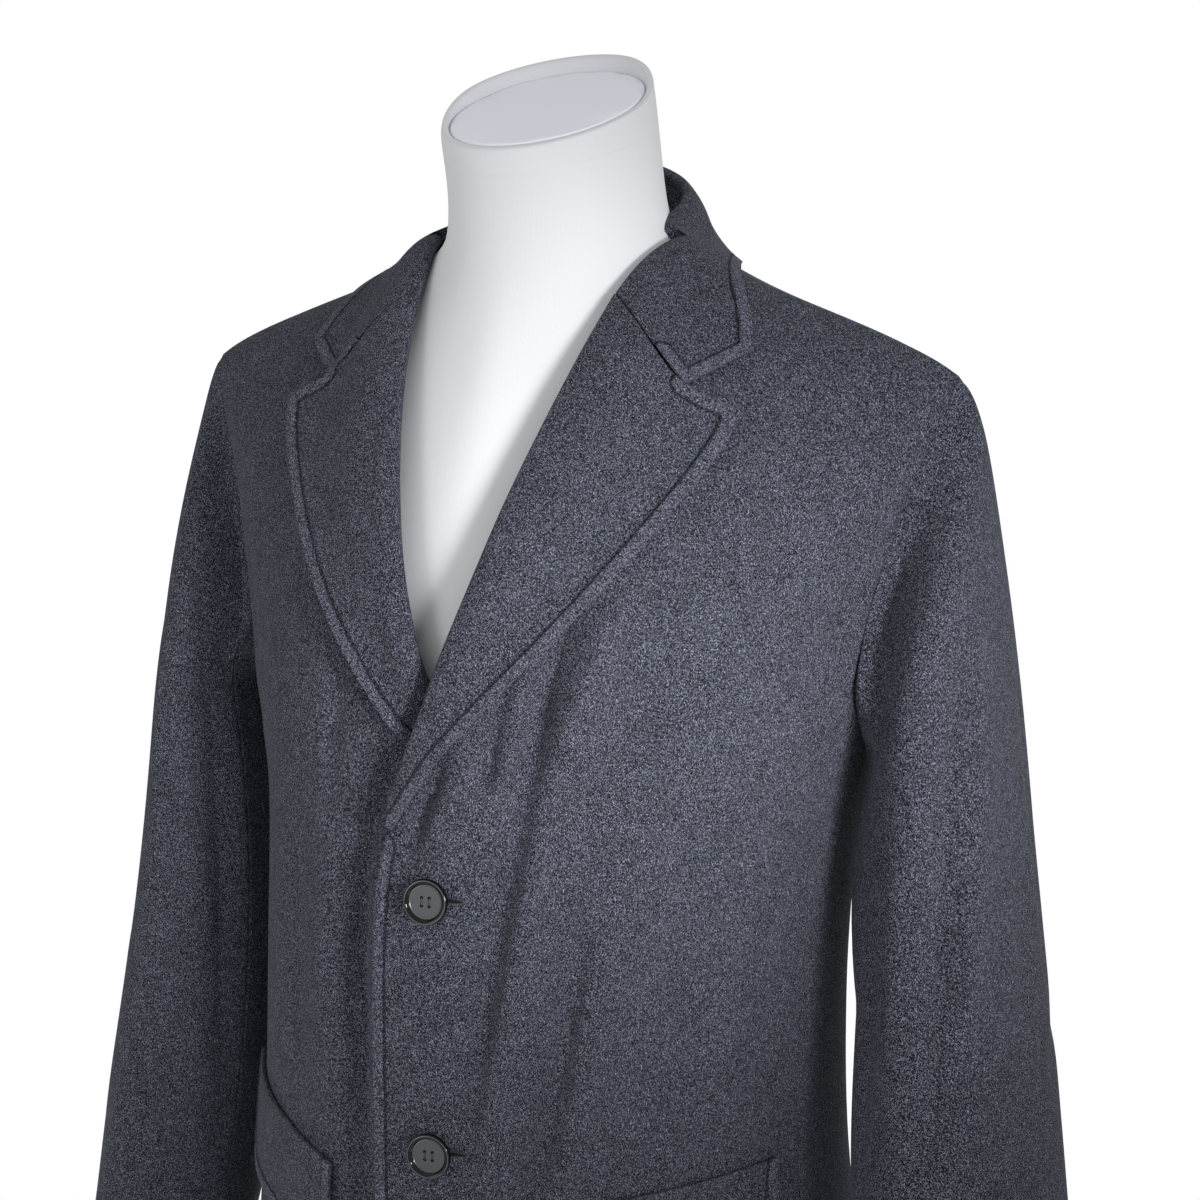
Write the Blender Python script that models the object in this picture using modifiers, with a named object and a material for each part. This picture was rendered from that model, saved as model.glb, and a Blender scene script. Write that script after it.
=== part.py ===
"""A single-breasted wool overcoat, buttoned, on a limbless dress form with a pole and a round foot.

The wearer faces -Y, the wearer's left is +X and +Z is up. The foot stands on z = 0.
Tables are in centimetres, as a tailor measures. CM turns them into metres.
"""

import math

import bmesh
import bpy
import numpy as np

CM = 0.01

# Cloth, in centimetres.
WALL = 0.24
LAPEL_WALL = 0.22
SEAM_GAP = 0.03
HALF_GAP = SEAM_GAP / 2
ARMHOLE_GAP = 0.06
UNDERARM_GAP = 0.08
LAP_HEIGHTS = (122.4, 127.0)
FOLD_GAP = 0.09

# Heights above the floor, in centimetres.
HEM_Z = 46.0
BREAK_Z = 116.4
LAPEL_FOOT_Z = 117.2
UNDERARM_Z = 121.4
LAPEL_POINT_Z = 138.6
SHOULDER_TIP_Z = 140.5
NECK_SIDE_Z = 147.0

# Half widths and reaches, in centimetres.
NECK_SIDE_X = 7.9
NECK_BACK_Y = 7.2
SHOULDER_TIP_X = 23.3
OVERLAP = 2.9
OVERLAP_LIFT = {1: 0.55, -1: -0.42}

# The shoulder line, and the slopes that carry it on over the neck and past the tip.
SHOULDER_LINE = (
    # x, z
    (7.9, 147.0),
    (12.0, 145.05),
    (16.0, 143.65),
    (20.0, 142.2),
    (22.2, 141.2),
    (23.3, 140.5),
)
NECK_SLOPE = 0.43
TIP_SLOPE = 0.55

# How the chest and the back round over into the shoulder.
DOME_HEIGHT = 24.0
FRONT_ROUND = 1.5
BACK_ROUND = 2.6
CROWN_PULL = 2.5
CROWN_DEPTH = 2.6

# The coat's body at each height: half width, depth in front of the shoulder line, depth behind it.
BODY = (
    # z, half_width, front, back
    (46.0, 22.6, 16.0, 14.6),
    (60.0, 21.6, 15.7, 14.0),
    (75.0, 20.5, 15.4, 13.6),
    (87.0, 19.5, 15.1, 13.2),
    (97.0, 18.5, 14.9, 12.0),
    (107.0, 18.0, 14.8, 11.2),
    (114.0, 17.95, 14.5, 11.3),
    (118.0, 18.4, 14.2, 11.6),
    (121.4, 19.2, 14.0, 12.0),
    (126.0, 19.85, 13.8, 12.2),
    (130.0, 20.7, 13.8, 12.2),
    (134.0, 21.8, 13.8, 12.0),
    (138.0, 23.3, 13.8, 12.0),
    (152.0, 27.0, 13.8, 12.0),
)
# How much nearer to the middle the wearer's left side hangs than the right one.
LEFT_DRAW = (
    # z, share of the half width
    (46.0, 0.0),
    (70.0, 0.0),
    (80.0, 0.012),
    (88.0, 0.034),
    (94.0, 0.052),
    (98.0, 0.052),
    (103.0, 0.042),
    (107.0, 0.034),
    (111.0, 0.018),
    (115.0, 0.010),
    (119.0, 0.0),
    (121.4, 0.0),
)
# How far the wearer's right shoulder sits below the left one, outside the neck and above the chest.
RIGHT_DROP = 0.3
DROP_REACH = (7.4, 11.0)
DROP_HEIGHTS = (132.0, 142.0)

# The roll line, where the lapel folds out, from the break up to the side of the neck.
ROLL_LINE = (
    # z, x
    (116.4, -2.3),
    (119.2, -1.4),
    (121.5, -0.5),
    (124.0, 0.6),
    (127.0, 1.5),
    (130.0, 2.5),
    (134.0, 3.6),
    (138.0, 4.8),
    (142.0, 5.8),
    (144.0, 6.25),
    (145.5, 6.7),
    (146.4, 7.15),
    (147.0, 7.9),
)
# The lapel's outer edge on the chest, from the break up to its point.
LAPEL_EDGE = (
    # z, x
    (116.4, -2.0),
    (118.1, -0.9),
    (121.1, 1.2),
    (124.0, 3.8),
    (126.0, 5.5),
    (128.0, 7.2),
    (130.0, 8.7),
    (132.0, 10.1),
    (134.0, 11.4),
    (136.0, 12.6),
    (138.0, 13.5),
    (138.6, 13.5),
)
ARMHOLE_FRONT = (
    # z, x
    (121.4, 19.19),
    (122.7, 19.05),
    (124.0, 19.05),
    (126.0, 19.3),
    (128.0, 19.65),
    (130.0, 20.1),
    (132.0, 20.6),
    (134.0, 21.2),
    (136.0, 21.9),
    (138.0, 22.6),
    (140.5, 23.3),
)
ARMHOLE_BACK = (
    # z, x
    (121.4, 19.19),
    (122.7, 19.1),
    (124.0, 18.9),
    (128.0, 19.1),
    (132.0, 20.1),
    (136.0, 21.6),
    (140.5, 23.3),
)
# How far in front of the shoulder line the side seam runs.
SIDE_SEAM = (
    # z, forward
    (46.0, 4.2),
    (100.0, 4.0),
    (112.0, 2.6),
    (121.4, 0.5),
)

# Rings of the sleeve below its cap: the outer point, the inner point, then the depth of the section.
SLEEVE = (
    # outer_x, outer_z, inner_x, inner_z, centre_y, half_depth, left_turn, right_turn
    (25.40, 132.2, 19.70, 119.6, 0.4, 5.2, 0.0, 0.0),
    (26.10, 127.5, 19.55, 118.4, 0.5, 5.8, 0.0, 0.0),
    (26.80, 122.5, 19.40, 116.6, 0.5, 6.2, 0.0, 0.0),
    (27.50, 117.3, 19.35, 113.8, 0.4, 6.4, 0.0, 0.0),
    (28.30, 112.0, 19.35, 110.0, 0.1, 6.4, 2.0, 2.0),
    (29.10, 106.5, 19.40, 105.0, -0.3, 6.5, 6.0, 4.0),
    (29.90, 100.8, 19.55, 99.6, -0.9, 6.6, 12.0, 6.0),
    (30.75, 95.2, 20.10, 94.2, -1.6, 6.6, 16.0, 8.0),
    (31.50, 89.6, 21.00, 88.6, -2.2, 6.5, 18.0, 10.0),
    (32.10, 84.0, 22.20, 83.1, -2.8, 6.3, 19.0, 12.0),
    (32.70, 78.6, 23.50, 77.8, -3.3, 6.1, 20.0, 14.0),
)
# The cap between the armhole and the first ring: how far along each of its rings lies.
CAP_PLACES = (0.28, 0.62)
CAP_FULLNESS = 0.7
SLEEVE_FRONT_SEAM = 9
SLEEVE_BACK_SEAM = 15

# Stations of the collar round the back of the neck: the fold, then the fall's middle and edge.
COLLAR_BACK = (
    # fold_x, fold_y, fold_z, middle_x, middle_y, middle_z, edge_x, edge_y, edge_z
    (0.0, 8.00, 151.75, 0.0, 9.15, 149.2, 0.0, 9.45, 146.4),
    (2.5, 7.55, 151.30, 2.9, 8.60, 148.9, 3.6, 8.75, 146.2),
    (4.7, 6.30, 150.45, 5.4, 7.20, 148.4, 6.5, 7.40, 145.9),
    (5.9, 4.35, 149.50, 7.0, 5.10, 147.9, 8.6, 5.35, 145.7),
    (6.45, 2.15, 148.65, 8.1, 2.75, 147.3, 9.9, 2.90, 145.7),
    (6.7, 0.30, 147.90, 8.7, 0.40, 147.0, 10.8, 0.45, 145.9),
)
COLLAR_REST = 0.34
# The collar's ends lie on the fronts. The last one follows the gorge seam and ends at the collar's corner.
COLLAR_FRONT = (
    # knee_x, knee_z, end_x, end_z
    (9.2, 145.85, 11.5, 144.75),
    (9.6, 144.60, 12.3, 143.75),
    (10.0, 142.60, 12.9, 142.70),
)
COLLAR_CORNER = (13.4, 141.5)
GORGE_STEP = (0.045, 0.04)

# The fold of lapel and collar, and how the lapel lies.
ROLL_RADIUS = 0.27
LOW_ROLL_RADIUS = 0.16
ROLL_STEPS = 4
ROLL_CROWN = 0.36
LAPEL_LIFT = 0.05
LAPEL_SHARES = (0.12, 0.26, 0.44, 0.64, 0.82, 1.0)
KNEE_SHARE = 0.64
NOTCH_SHIFT = (-0.35, -0.8)
COLLAR_TAIL = 0.35

# Sections of the form's neck.
NECK = (
    # z, radius, centre_y
    (120.0, 3.0, 0.0),
    (138.0, 5.6, 0.3),
    (143.0, 6.5, 0.2),
    (146.0, 6.3, 0.15),
    (148.0, 6.1, 0.1),
    (151.0, 5.93, -0.4),
    (154.3, 5.85, -1.2),
)
FORM_HEIGHTS = (
    (79.0, 81.0, 88.0, 95.0, 102.0, 108.0, 114.0, 120.0, 125.5, 130.0, 133.6, 136.6)
    + (139.0, 140.8, 142.3, 143.6, 144.8, 146.0, 147.6, 149.6, 151.6, 153.0)
)
FORM_SEGMENTS = 32
FORM_BOTTOM_Z = FORM_HEIGHTS[0]
FORM_FOOT_SCALE = 0.965
FORM_SHOULDER_DROP = 0.7
FORM_SHOULDER_X = 18.4
FORM_SIDE_INSET = 2.3
FORM_DEPTH_INSET = 1.5
FORM_BLEND = 7.0
CAP_Z = 154.15
CAP_TILT = math.tan(math.radians(22.0))
CAP_THICKNESS = 0.16
RIM_WIDTH = 0.42
RIM_HEIGHT = 0.14
LIP_HEIGHT = 0.85
LIP_SWING = math.radians(26.0)
LIP_ENDS = (-0.45, 0.75)

# Buttons: place on the left front, and a turned section.
BUTTONS = (
    # x, z
    (0.62, 113.6),
    (0.80, 99.9),
    (0.85, 86.1),
)
BUTTON_PROFILE = (
    # radius, height
    (0.0, 0.22),
    (0.72, 0.22),
    (0.86, 0.27),
    (0.95, 0.40),
    (1.10, 0.42),
    (1.20, 0.33),
    (1.23, 0.20),
    (1.12, 0.04),
    (0.85, 0.0),
    (0.0, 0.0),
)
BUTTON_SEGMENTS = 18
BUTTON_SHANK = 0.3
BUTTON_HOLE_RADIUS = 0.11
BUTTON_HOLE_REACH = 0.2
BUTTON_HOLE_DEPTH = 1.2
BUTTON_TIP = (0.16, 0.0, 0.03)

# Pocket flaps, as x and z on the front.
POCKET_OUTER = (17.0, 99.1)
POCKET_INNER = (6.6, 97.2)
POCKET_DROP = 6.2
POCKET_CORNER = 1.6
POCKET_RISE = 0.10
POCKET_STEPS = (9, 3)

# Stand.
POLE_RADIUS = 1.75
FOOT_RADIUS = 19.0
FOOT_THICKNESS = 1.4
FOOT_EDGE = 0.5

# Largest folds of the cloth: a line down the panel, its width, and how far it comes out or sinks.
FRONT_FOLDS = {
    1: (
        # x_top, z_top, x_bottom, z_bottom, half_width, rise
        (6.9, 125.5, 3.2, 101.5, 2.0, -0.40),
        (12.5, 96.0, 13.5, 50.0, 2.8, -0.60),
        (5.0, 84.0, 4.2, 48.0, 2.6, -0.45),
        (14.6, 133.0, 15.6, 112.0, 2.8, 0.35),
    ),
    -1: (
        (12.0, 96.0, 13.2, 50.0, 2.8, -0.60),
        (15.4, 130.0, 15.0, 112.0, 2.6, -0.35),
        (6.5, 86.0, 6.0, 48.0, 2.6, -0.40),
    ),
}
BACK_FOLDS = (
    (6.0, 112.0, 8.0, 50.0, 2.8, -0.60),
    (12.5, 104.0, 15.5, 48.0, 2.6, 0.55),
    (14.6, 134.0, 13.2, 112.0, 2.6, -0.40),
    (4.8, 122.0, 3.4, 100.0, 2.6, 0.30),
)
FOLD_END = 3.0
# Soft folds along a sleeve: the share of the way round, from which ring to which, half width and rise.
SLEEVE_FOLDS = (
    # place, first_ring, last_ring, half_width, rise
    (0.29, 5.0, 13.0, 0.055, -0.45),
    (0.46, 5.0, 11.0, 0.065, 0.30),
    (0.15, 4.0, 13.0, 0.065, 0.25),
    (0.79, 5.0, 13.0, 0.060, -0.40),
    (0.57, 7.0, 13.0, 0.050, -0.30),
)

# Columns and rows of the panels.
FRONT_COLUMNS = 13
NECK_COLUMNS = 5
SHOULDER_COLUMNS = 6
ROWS_UP = 10
ROW_SPREAD = 1.8
NEAR_UNDERARM = 0.96
LOWER_HEIGHTS = (
    (HEM_Z, 52.0, 59.0, 66.0, 73.0, 80.0, 86.5, 92.5, 98.0, 103.0, 107.5, 112.0)
    + (BREAK_Z, 119.0)
)

# Colours as linear red, green and blue.
WOOL = (0.062, 0.066, 0.082)
JERSEY = (0.80, 0.81, 0.83)
CAP_GREY = (0.55, 0.57, 0.62)
BUTTON_BLACK = (0.012, 0.012, 0.014)
STAND_GREY = (0.35, 0.36, 0.38)


def smooth(low, high, value):
    """0 below low, 1 above high, with soft ends between."""
    share = min(max((value - low) / (high - low), 0.0), 1.0)
    return share * share * (3.0 - 2.0 * share)


def read(table, column, at):
    """A column of a table at a place between its rows, on a smooth curve through them."""
    last = len(table) - 1
    at = min(max(at, table[0][0]), table[last][0])
    k = 0
    while k < last - 1 and table[k + 1][0] < at:
        k += 1
    span = table[k + 1][0] - table[k][0]
    t = (at - table[k][0]) / span

    def slope(i):
        low, high = max(i - 1, 0), min(i + 1, last)
        return (table[high][column] - table[low][column]) / (table[high][0] - table[low][0])

    return (
        (2 * t**3 - 3 * t**2 + 1) * table[k][column]
        + (t**3 - 2 * t**2 + t) * slope(k) * span
        + (3 * t**2 - 2 * t**3) * table[k + 1][column]
        + (t**3 - t**2) * slope(k + 1) * span
    )


def unit(v):
    return v / np.linalg.norm(v)


def on_side(side, vector):
    """A point or a direction given for the wearer's left, on the wanted side."""
    return np.array((side * vector[0], vector[1], vector[2]))


def hung(side, point):
    """A point of the body's cloth on the wanted side, the left one drawn in as it hangs."""
    if side < 0:
        return on_side(side, point)
    return np.array((point[0] * (1.0 - read(LEFT_DRAW, 1, point[2])), point[1], point[2]))


# The coat's surface.


def shoulder_z(x):
    """Height of the shoulder line, carried on over the neck and past the tip."""
    x = abs(x)
    if x < NECK_SIDE_X:
        return NECK_SIDE_Z + (NECK_SIDE_X - x) * NECK_SLOPE
    if x > SHOULDER_TIP_X:
        return SHOULDER_TIP_Z - (x - SHOULDER_TIP_X) * TIP_SLOPE
    return read(SHOULDER_LINE, 1, x)


SHOULDER_NORMAL = unit(np.array((NECK_SLOPE, 0.0, 1.0)))


def dome(share, roundness):
    """0 at the shoulder line, 1 where the body is at its full depth."""
    share = min(max(share, 0.0), 1.0)
    return (1.0 - (1.0 - share) ** roundness) ** (1.0 / roundness)


def body_ring(angle, z):
    """The outer surface at an angle round the body, 0 at the centre front and pi at the centre back."""
    x = read(BODY, 1, z) * math.sin(angle)
    ahead = math.cos(angle)
    share = (shoulder_z(x) - z) / DOME_HEIGHT
    if ahead < 0.0:
        return np.array((x, -read(BODY, 3, z) * ahead * dome(share, BACK_ROUND), z))
    return np.array((x, -read(BODY, 2, z) * ahead * dome(share, FRONT_ROUND), z))


def ring_angle(x, z, back):
    angle = math.asin(min(max(x / read(BODY, 1, z), -1.0), 1.0))
    return math.pi - angle if back else angle


def body_normal(angle, z):
    """Outward direction of the surface, turned upwards near the shoulder line."""
    x = read(BODY, 1, z) * math.sin(angle)
    top = shoulder_z(x)
    level = min(z, top - 1.0)
    along = body_ring(angle + 0.02, level) - body_ring(angle - 0.02, level)
    up = body_ring(angle, level + 0.3) - body_ring(angle, level - 0.3)
    crown = unit(np.array((math.copysign(NECK_SLOPE, x), 0.0, 1.0)))
    pull = CROWN_PULL * (1.0 - smooth(0.0, CROWN_DEPTH, top - z))
    return unit(unit(np.cross(along, up)) + crown * pull)


def surface_z(x, y):
    """Height of the surface near the shoulder line, at a place seen from above."""
    column, roundness = (2, FRONT_ROUND) if y < 0 else (3, BACK_ROUND)
    depth = read(BODY, column, NECK_SIDE_Z) * math.cos(ring_angle(x, NECK_SIDE_Z, False))
    reach = min(abs(y) / depth, 0.999)
    return shoulder_z(x) - DOME_HEIGHT * (1.0 - (1.0 - reach**roundness) ** (1.0 / roundness))


def fold_rise(folds, x, z):
    """How far the soft folds lift the cloth at x and z, or let it sink."""
    total = 0.0
    for x_top, z_top, x_bottom, z_bottom, half_width, rise in folds:
        if z_bottom - FOLD_END < z < z_top + FOLD_END:
            run = (z_top - z) / (z_top - z_bottom)
            centre = x_top + (x_bottom - x_top) * run
            ends = smooth(-0.12, 0.22, run) * (1.0 - smooth(0.8, 1.12, run))
            total += rise * ends * math.exp(-(((x - centre) / half_width) ** 2))
    return total


def overlap_lift(side, x, z):
    """The left front stands proud where it laps over the right one, which lies a little deeper."""
    across = 1.0 - smooth(3.4, 8.0, abs(x))
    return OVERLAP_LIFT[side] * across * (1.0 - smooth(124.0, 131.0, z))


def front_point(side, x, z):
    """Outer surface and outward direction of a front, given for the wearer's left."""
    angle = ring_angle(x, z, False)
    normal = body_normal(angle, z)
    rise = overlap_lift(side, x, z) + fold_rise(FRONT_FOLDS[side], x, z)
    return body_ring(angle, z) + normal * rise, normal


def back_point(angle, z):
    """Outer surface and outward direction of a back, at an angle round the body."""
    normal = body_normal(angle, z)
    base = body_ring(angle, z)
    behind = smooth(0.0, 5.0, base[1])
    return base + normal * behind * fold_rise(BACK_FOLDS, base[0], z), normal


# Rows of points that the panels are made from.


def shares_up():
    """Shares of the way from the underarm up to the shoulder line, closer together towards the top."""
    places = [k / ROWS_UP for k in range(ROWS_UP)] + [NEAR_UNDERARM, 1.0]
    return [1.0 - share**ROW_SPREAD for share in reversed(places)]


SHARES_UP = shares_up()


def between(low, high, share):
    return low + (high - low) * share


def side_seam_angle(z):
    return math.acos(read(SIDE_SEAM, 1, z) / read(BODY, 2, z))


def side_seam_x(z):
    return read(BODY, 1, z) * math.sin(side_seam_angle(z))


def front_edge_x(z):
    """The leading edge below the break, and the roll line above it."""
    if z >= BREAK_Z:
        return read(ROLL_LINE, 1, z)
    return -OVERLAP + 0.6 * smooth(BREAK_Z - 5.0, BREAK_Z, z)


def front_row(side, start, end, on_shoulder):
    """Points and directions across a front from one x and z to another."""
    (x_in, z_in), (x_out, z_out) = start, end
    first = math.asin(x_in / read(BODY, 1, z_in))
    last = math.asin(min(x_out / read(BODY, 1, z_out), 1.0))
    row = []
    for k in range(FRONT_COLUMNS + 1):
        angle = between(first, last, k / FRONT_COLUMNS)
        share = (math.sin(angle) - math.sin(first)) / (math.sin(last) - math.sin(first))
        x, z = between(x_in, x_out, share), between(z_in, z_out, share)
        if on_shoulder:
            point, normal = np.array((x, -HALF_GAP, shoulder_z(x))), SHOULDER_NORMAL
        else:
            point, normal = front_point(side, x, z)
        row.append((point, normal))
    return row


def open_side_seam(rows):
    """Takes half of the side seam's gap off the last column of the rows below the underarm."""
    for row in rows[: len(LOWER_HEIGHTS) + 1]:
        point, normal = row[-1]
        row[-1] = (point + unit(row[-2][0] - point) * HALF_GAP, normal)


def placed(side, rows):
    return [[(hung(side, point), on_side(side, normal)) for point, normal in row] for row in rows]


def front_rows(side):
    rows = []
    for z in LOWER_HEIGHTS:
        rows.append(front_row(side, (front_edge_x(z), z), (side_seam_x(z), z), False))
    for k, share in enumerate(SHARES_UP):
        z_in = between(UNDERARM_Z, NECK_SIDE_Z, share)
        z_out = between(UNDERARM_Z, SHOULDER_TIP_Z, share)
        x_out = read(ARMHOLE_FRONT, 1, z_out) if k > 0 else side_seam_x(UNDERARM_Z)
        start = (read(ROLL_LINE, 1, z_in), z_in)
        rows.append(front_row(side, start, (x_out, z_out), k == len(SHARES_UP) - 1))
    open_side_seam(rows)
    return placed(side, rows)


def neck_seam(k):
    """The back neckline at one of the neck's columns, from the centre back to the side of the neck."""
    angle = math.pi / 2 * k / NECK_COLUMNS
    x, y = NECK_SIDE_X * math.sin(angle), NECK_BACK_Y * math.cos(angle)
    return np.array((x, y, surface_z(x, y)))


def back_column_x(k, x_out, z_out, share):
    """Where a column of the back crosses a row: even round the body low down, to the neckline at the top."""
    columns = NECK_COLUMNS + SHOULDER_COLUMNS
    turn = math.asin(min(x_out / read(BODY, 1, z_out), 1.0))
    low = x_out * math.sin(turn * k / columns) / math.sin(turn)
    if k <= NECK_COLUMNS:
        high = neck_seam(k)[0]
    else:
        high = between(NECK_SIDE_X, x_out, (k - NECK_COLUMNS) / SHOULDER_COLUMNS)
    return between(low, high, smooth(0.25, 1.0, share))


def back_level_row(z):
    """Points and directions across a back at one height, from the centre back to the side seam."""
    columns = NECK_COLUMNS + SHOULDER_COLUMNS
    seam = side_seam_angle(z)
    return [back_point(between(math.pi, seam, k / columns), z) for k in range(columns + 1)]


def back_rows(side):
    columns = NECK_COLUMNS + SHOULDER_COLUMNS
    rows = [back_level_row(z) for z in (*LOWER_HEIGHTS, UNDERARM_Z)]
    for share in SHARES_UP[1:]:
        z_out = between(UNDERARM_Z, SHOULDER_TIP_Z, share)
        x_out = read(ARMHOLE_BACK, 1, z_out)
        on_top = share == SHARES_UP[-1]
        row = []
        for k in range(columns + 1):
            x = back_column_x(k, x_out, z_out, share)
            top = neck_seam(k)[2] if k < NECK_COLUMNS else shoulder_z(x)
            z = between(UNDERARM_Z, top, share)
            if on_top and k >= NECK_COLUMNS:
                row.append((np.array((x, HALF_GAP, top)), SHOULDER_NORMAL))
            elif on_top:
                row.append((neck_seam(k), body_normal(ring_angle(x, z, True), z)))
            else:
                row.append(back_point(ring_angle(x, z, True), z))
        rows.append(row)
    for row in rows:
        point, normal = row[0]
        row[0] = (np.array((HALF_GAP, point[1], point[2])), unit(np.array((0.0, normal[1], normal[2]))))
    open_side_seam(rows)
    return placed(side, rows)


# Making closed walls.


def material(name, colour, roughness, metallic=0.0):
    made = bpy.data.materials.new(name)
    made.use_nodes = True
    shader = made.node_tree.nodes["Principled BSDF"]
    shader.inputs["Base Color"].default_value = (*colour, 1.0)
    shader.inputs["Roughness"].default_value = roughness
    shader.inputs["Metallic"].default_value = metallic
    return made


def finish(name, shape, collection, surface):
    """Makes an object of a bmesh given in centimetres."""
    bmesh.ops.scale(shape, vec=(CM, CM, CM), verts=shape.verts)
    bmesh.ops.recalc_face_normals(shape, faces=shape.faces)
    if shape.calc_volume(signed=True) < 0:
        bmesh.ops.reverse_faces(shape, faces=shape.faces)
    mesh = bpy.data.meshes.new(name)
    shape.to_mesh(mesh)
    shape.free()
    mesh.shade_smooth()
    mesh.set_sharp_from_angle(angle=math.radians(40.0))
    made = bpy.data.objects.new(name, mesh)
    mesh.materials.append(surface)
    collection.objects.link(made)


def settled(point):
    """A point of the cloth as it settles: the wearer's right shoulder sits a little lower than the left."""
    x, y, z = point
    return (x, y, z - RIGHT_DROP * smooth(*DROP_REACH, -x) * smooth(*DROP_HEIGHTS, z))


def wall_between(name, sheets, collection, surface):
    """Joins two grids of points, an outer and an inner one, into a wall with finished edges."""
    shape = bmesh.new()
    outer, inner = ([[shape.verts.new(settled(spot)) for spot in row] for row in sheet] for sheet in sheets)
    rows, columns = len(outer), len(outer[0])
    for sheet in (outer, inner):
        for r in range(rows - 1):
            for c in range(columns - 1):
                shape.faces.new((sheet[r][c], sheet[r][c + 1], sheet[r + 1][c + 1], sheet[r + 1][c]))
    for r in (0, rows - 1):
        for c in range(columns - 1):
            shape.faces.new((outer[r][c], outer[r][c + 1], inner[r][c + 1], inner[r][c]))
    for c in (0, columns - 1):
        for r in range(rows - 1):
            shape.faces.new((outer[r][c], outer[r + 1][c], inner[r + 1][c], inner[r][c]))
    finish(name, shape, collection, surface)


def cloth_panel(name, rows, collection, cloth):
    """A wall of cloth below rows of outer points that each know which way is out."""
    outer = [[point for point, _ in row] for row in rows]
    inner = [[point - normal * WALL for point, normal in row] for row in rows]
    wall_between(name, (outer, inner), collection, cloth)


# Sleeves.


def armhole_loop(side):
    """The armhole from the shoulder tip down the front and up the back, as points and directions."""
    loop = [(np.array((SHOULDER_TIP_X, 0.0, SHOULDER_TIP_Z)), SHOULDER_NORMAL)]
    for share in reversed(SHARES_UP[1:-1]):
        z = between(UNDERARM_Z, SHOULDER_TIP_Z, share)
        loop.append(front_point(side, read(ARMHOLE_FRONT, 1, z), z))
    seam = body_ring(side_seam_angle(UNDERARM_Z), UNDERARM_Z)
    loop.append((seam, np.array((1.0, 0.0, 0.0))))
    for share in SHARES_UP[1:-1]:
        z = between(UNDERARM_Z, SHOULDER_TIP_Z, share)
        loop.append(back_point(ring_angle(read(ARMHOLE_BACK, 1, z), z, True), z))
    return loop


def armhole_directions(loop):
    """At each point of the armhole, the direction in the cloth that leads away from the body."""
    count = len(loop)
    centre = sum(point for point, _ in loop) / count
    middle = centre + np.array((-6.0, 0.0, 4.0))
    found = []
    for k, (point, normal) in enumerate(loop):
        tangent = loop[(k + 1) % count][0] - loop[k - 1][0]
        away = unit(np.cross(normal, unit(tangent)))
        found.append(away if np.dot(away, point - middle) > 0 else -away)
    return found


def armhole_lap(z):
    """1 below the arm, where the sleeve hangs down outside the body, and 0 where it carries the body on."""
    return 1.0 - smooth(*LAP_HEIGHTS, z)


def sleeve_start(point, normal, away):
    """Where the sleeve's outer side starts beside a point of the armhole."""
    lap = armhole_lap(point[2])
    return point + away * ARMHOLE_GAP * (1.0 - lap) + normal * (WALL + UNDERARM_GAP) * lap


def sleeve_fold(share, ring):
    total = 0.0
    for where, first, last, half_width, rise in SLEEVE_FOLDS:
        apart = min(abs(share - where), 1.0 - abs(share - where))
        ends = smooth(first - 1.5, first + 1.5, ring) * (1.0 - smooth(last, last + 2.0, ring))
        total += rise * ends * math.exp(-((apart / half_width) ** 2))
    return total


def sleeve_ring(side, row, ring, angles):
    """One ring of the hanging sleeve: an oval between its outer and inner point, turned a little."""
    outer_x, outer_z, inner_x, inner_z, centre_y, depth, left_turn, right_turn = row
    middle = np.array(((outer_x + inner_x) / 2, centre_y, (outer_z + inner_z) / 2))
    swing = math.radians(left_turn if side > 0 else right_turn)
    points = []
    for k, angle in enumerate(angles):
        x = (outer_x - inner_x) / 2 * math.cos(angle)
        y = -depth * math.sin(angle)
        turned = np.array((x * math.cos(swing) + y * math.sin(swing), y * math.cos(swing) - x * math.sin(swing), 0.0))
        rise = (outer_z - inner_z) / 2 * math.cos(angle)
        lift = sleeve_fold(k / len(angles), ring)
        points.append(middle + turned + np.array((0.0, 0.0, rise)) + unit(turned) * lift)
    return points


def sleeve_rings(side):
    """Outer points of the sleeve, ring by ring, with the same number of points as the armhole."""
    loop = armhole_loop(side)
    away = armhole_directions(loop)
    count = len(loop)
    middle, half = (SHOULDER_TIP_Z + UNDERARM_Z) / 2, (SHOULDER_TIP_Z - UNDERARM_Z) / 2
    high = []
    for k, (point, _) in enumerate(loop):
        angle = math.acos(min(max((point[2] - middle) / half, -1.0), 1.0))
        high.append(angle if k <= count // 2 else 2 * math.pi - angle)
    even = [2 * math.pi * k / count for k in range(count)]
    hanging = []
    for r, row in enumerate(SLEEVE):
        blend = smooth(-1.0, 4.0, r)
        angles = [between(a, b, blend) for a, b in zip(high, even)]
        hanging.append(sleeve_ring(side, row, r + len(CAP_PLACES) + 1, angles))
    rings = [[sleeve_start(point, normal, step) for (point, normal), step in zip(loop, away)]]
    for t in CAP_PLACES:
        ring = []
        for start, step, end, below in zip(rings[0], away, hanging[0], hanging[1]):
            reach = np.linalg.norm(end - start)
            ring.append(
                (2 * t**3 - 3 * t**2 + 1) * start
                + (t**3 - 2 * t**2 + t) * step * reach * CAP_FULLNESS
                + (3 * t**2 - 2 * t**3) * end
                + (t**3 - t**2) * unit(below - end) * reach
            )
        rings.append(ring)
    return rings + hanging, loop, away


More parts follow.
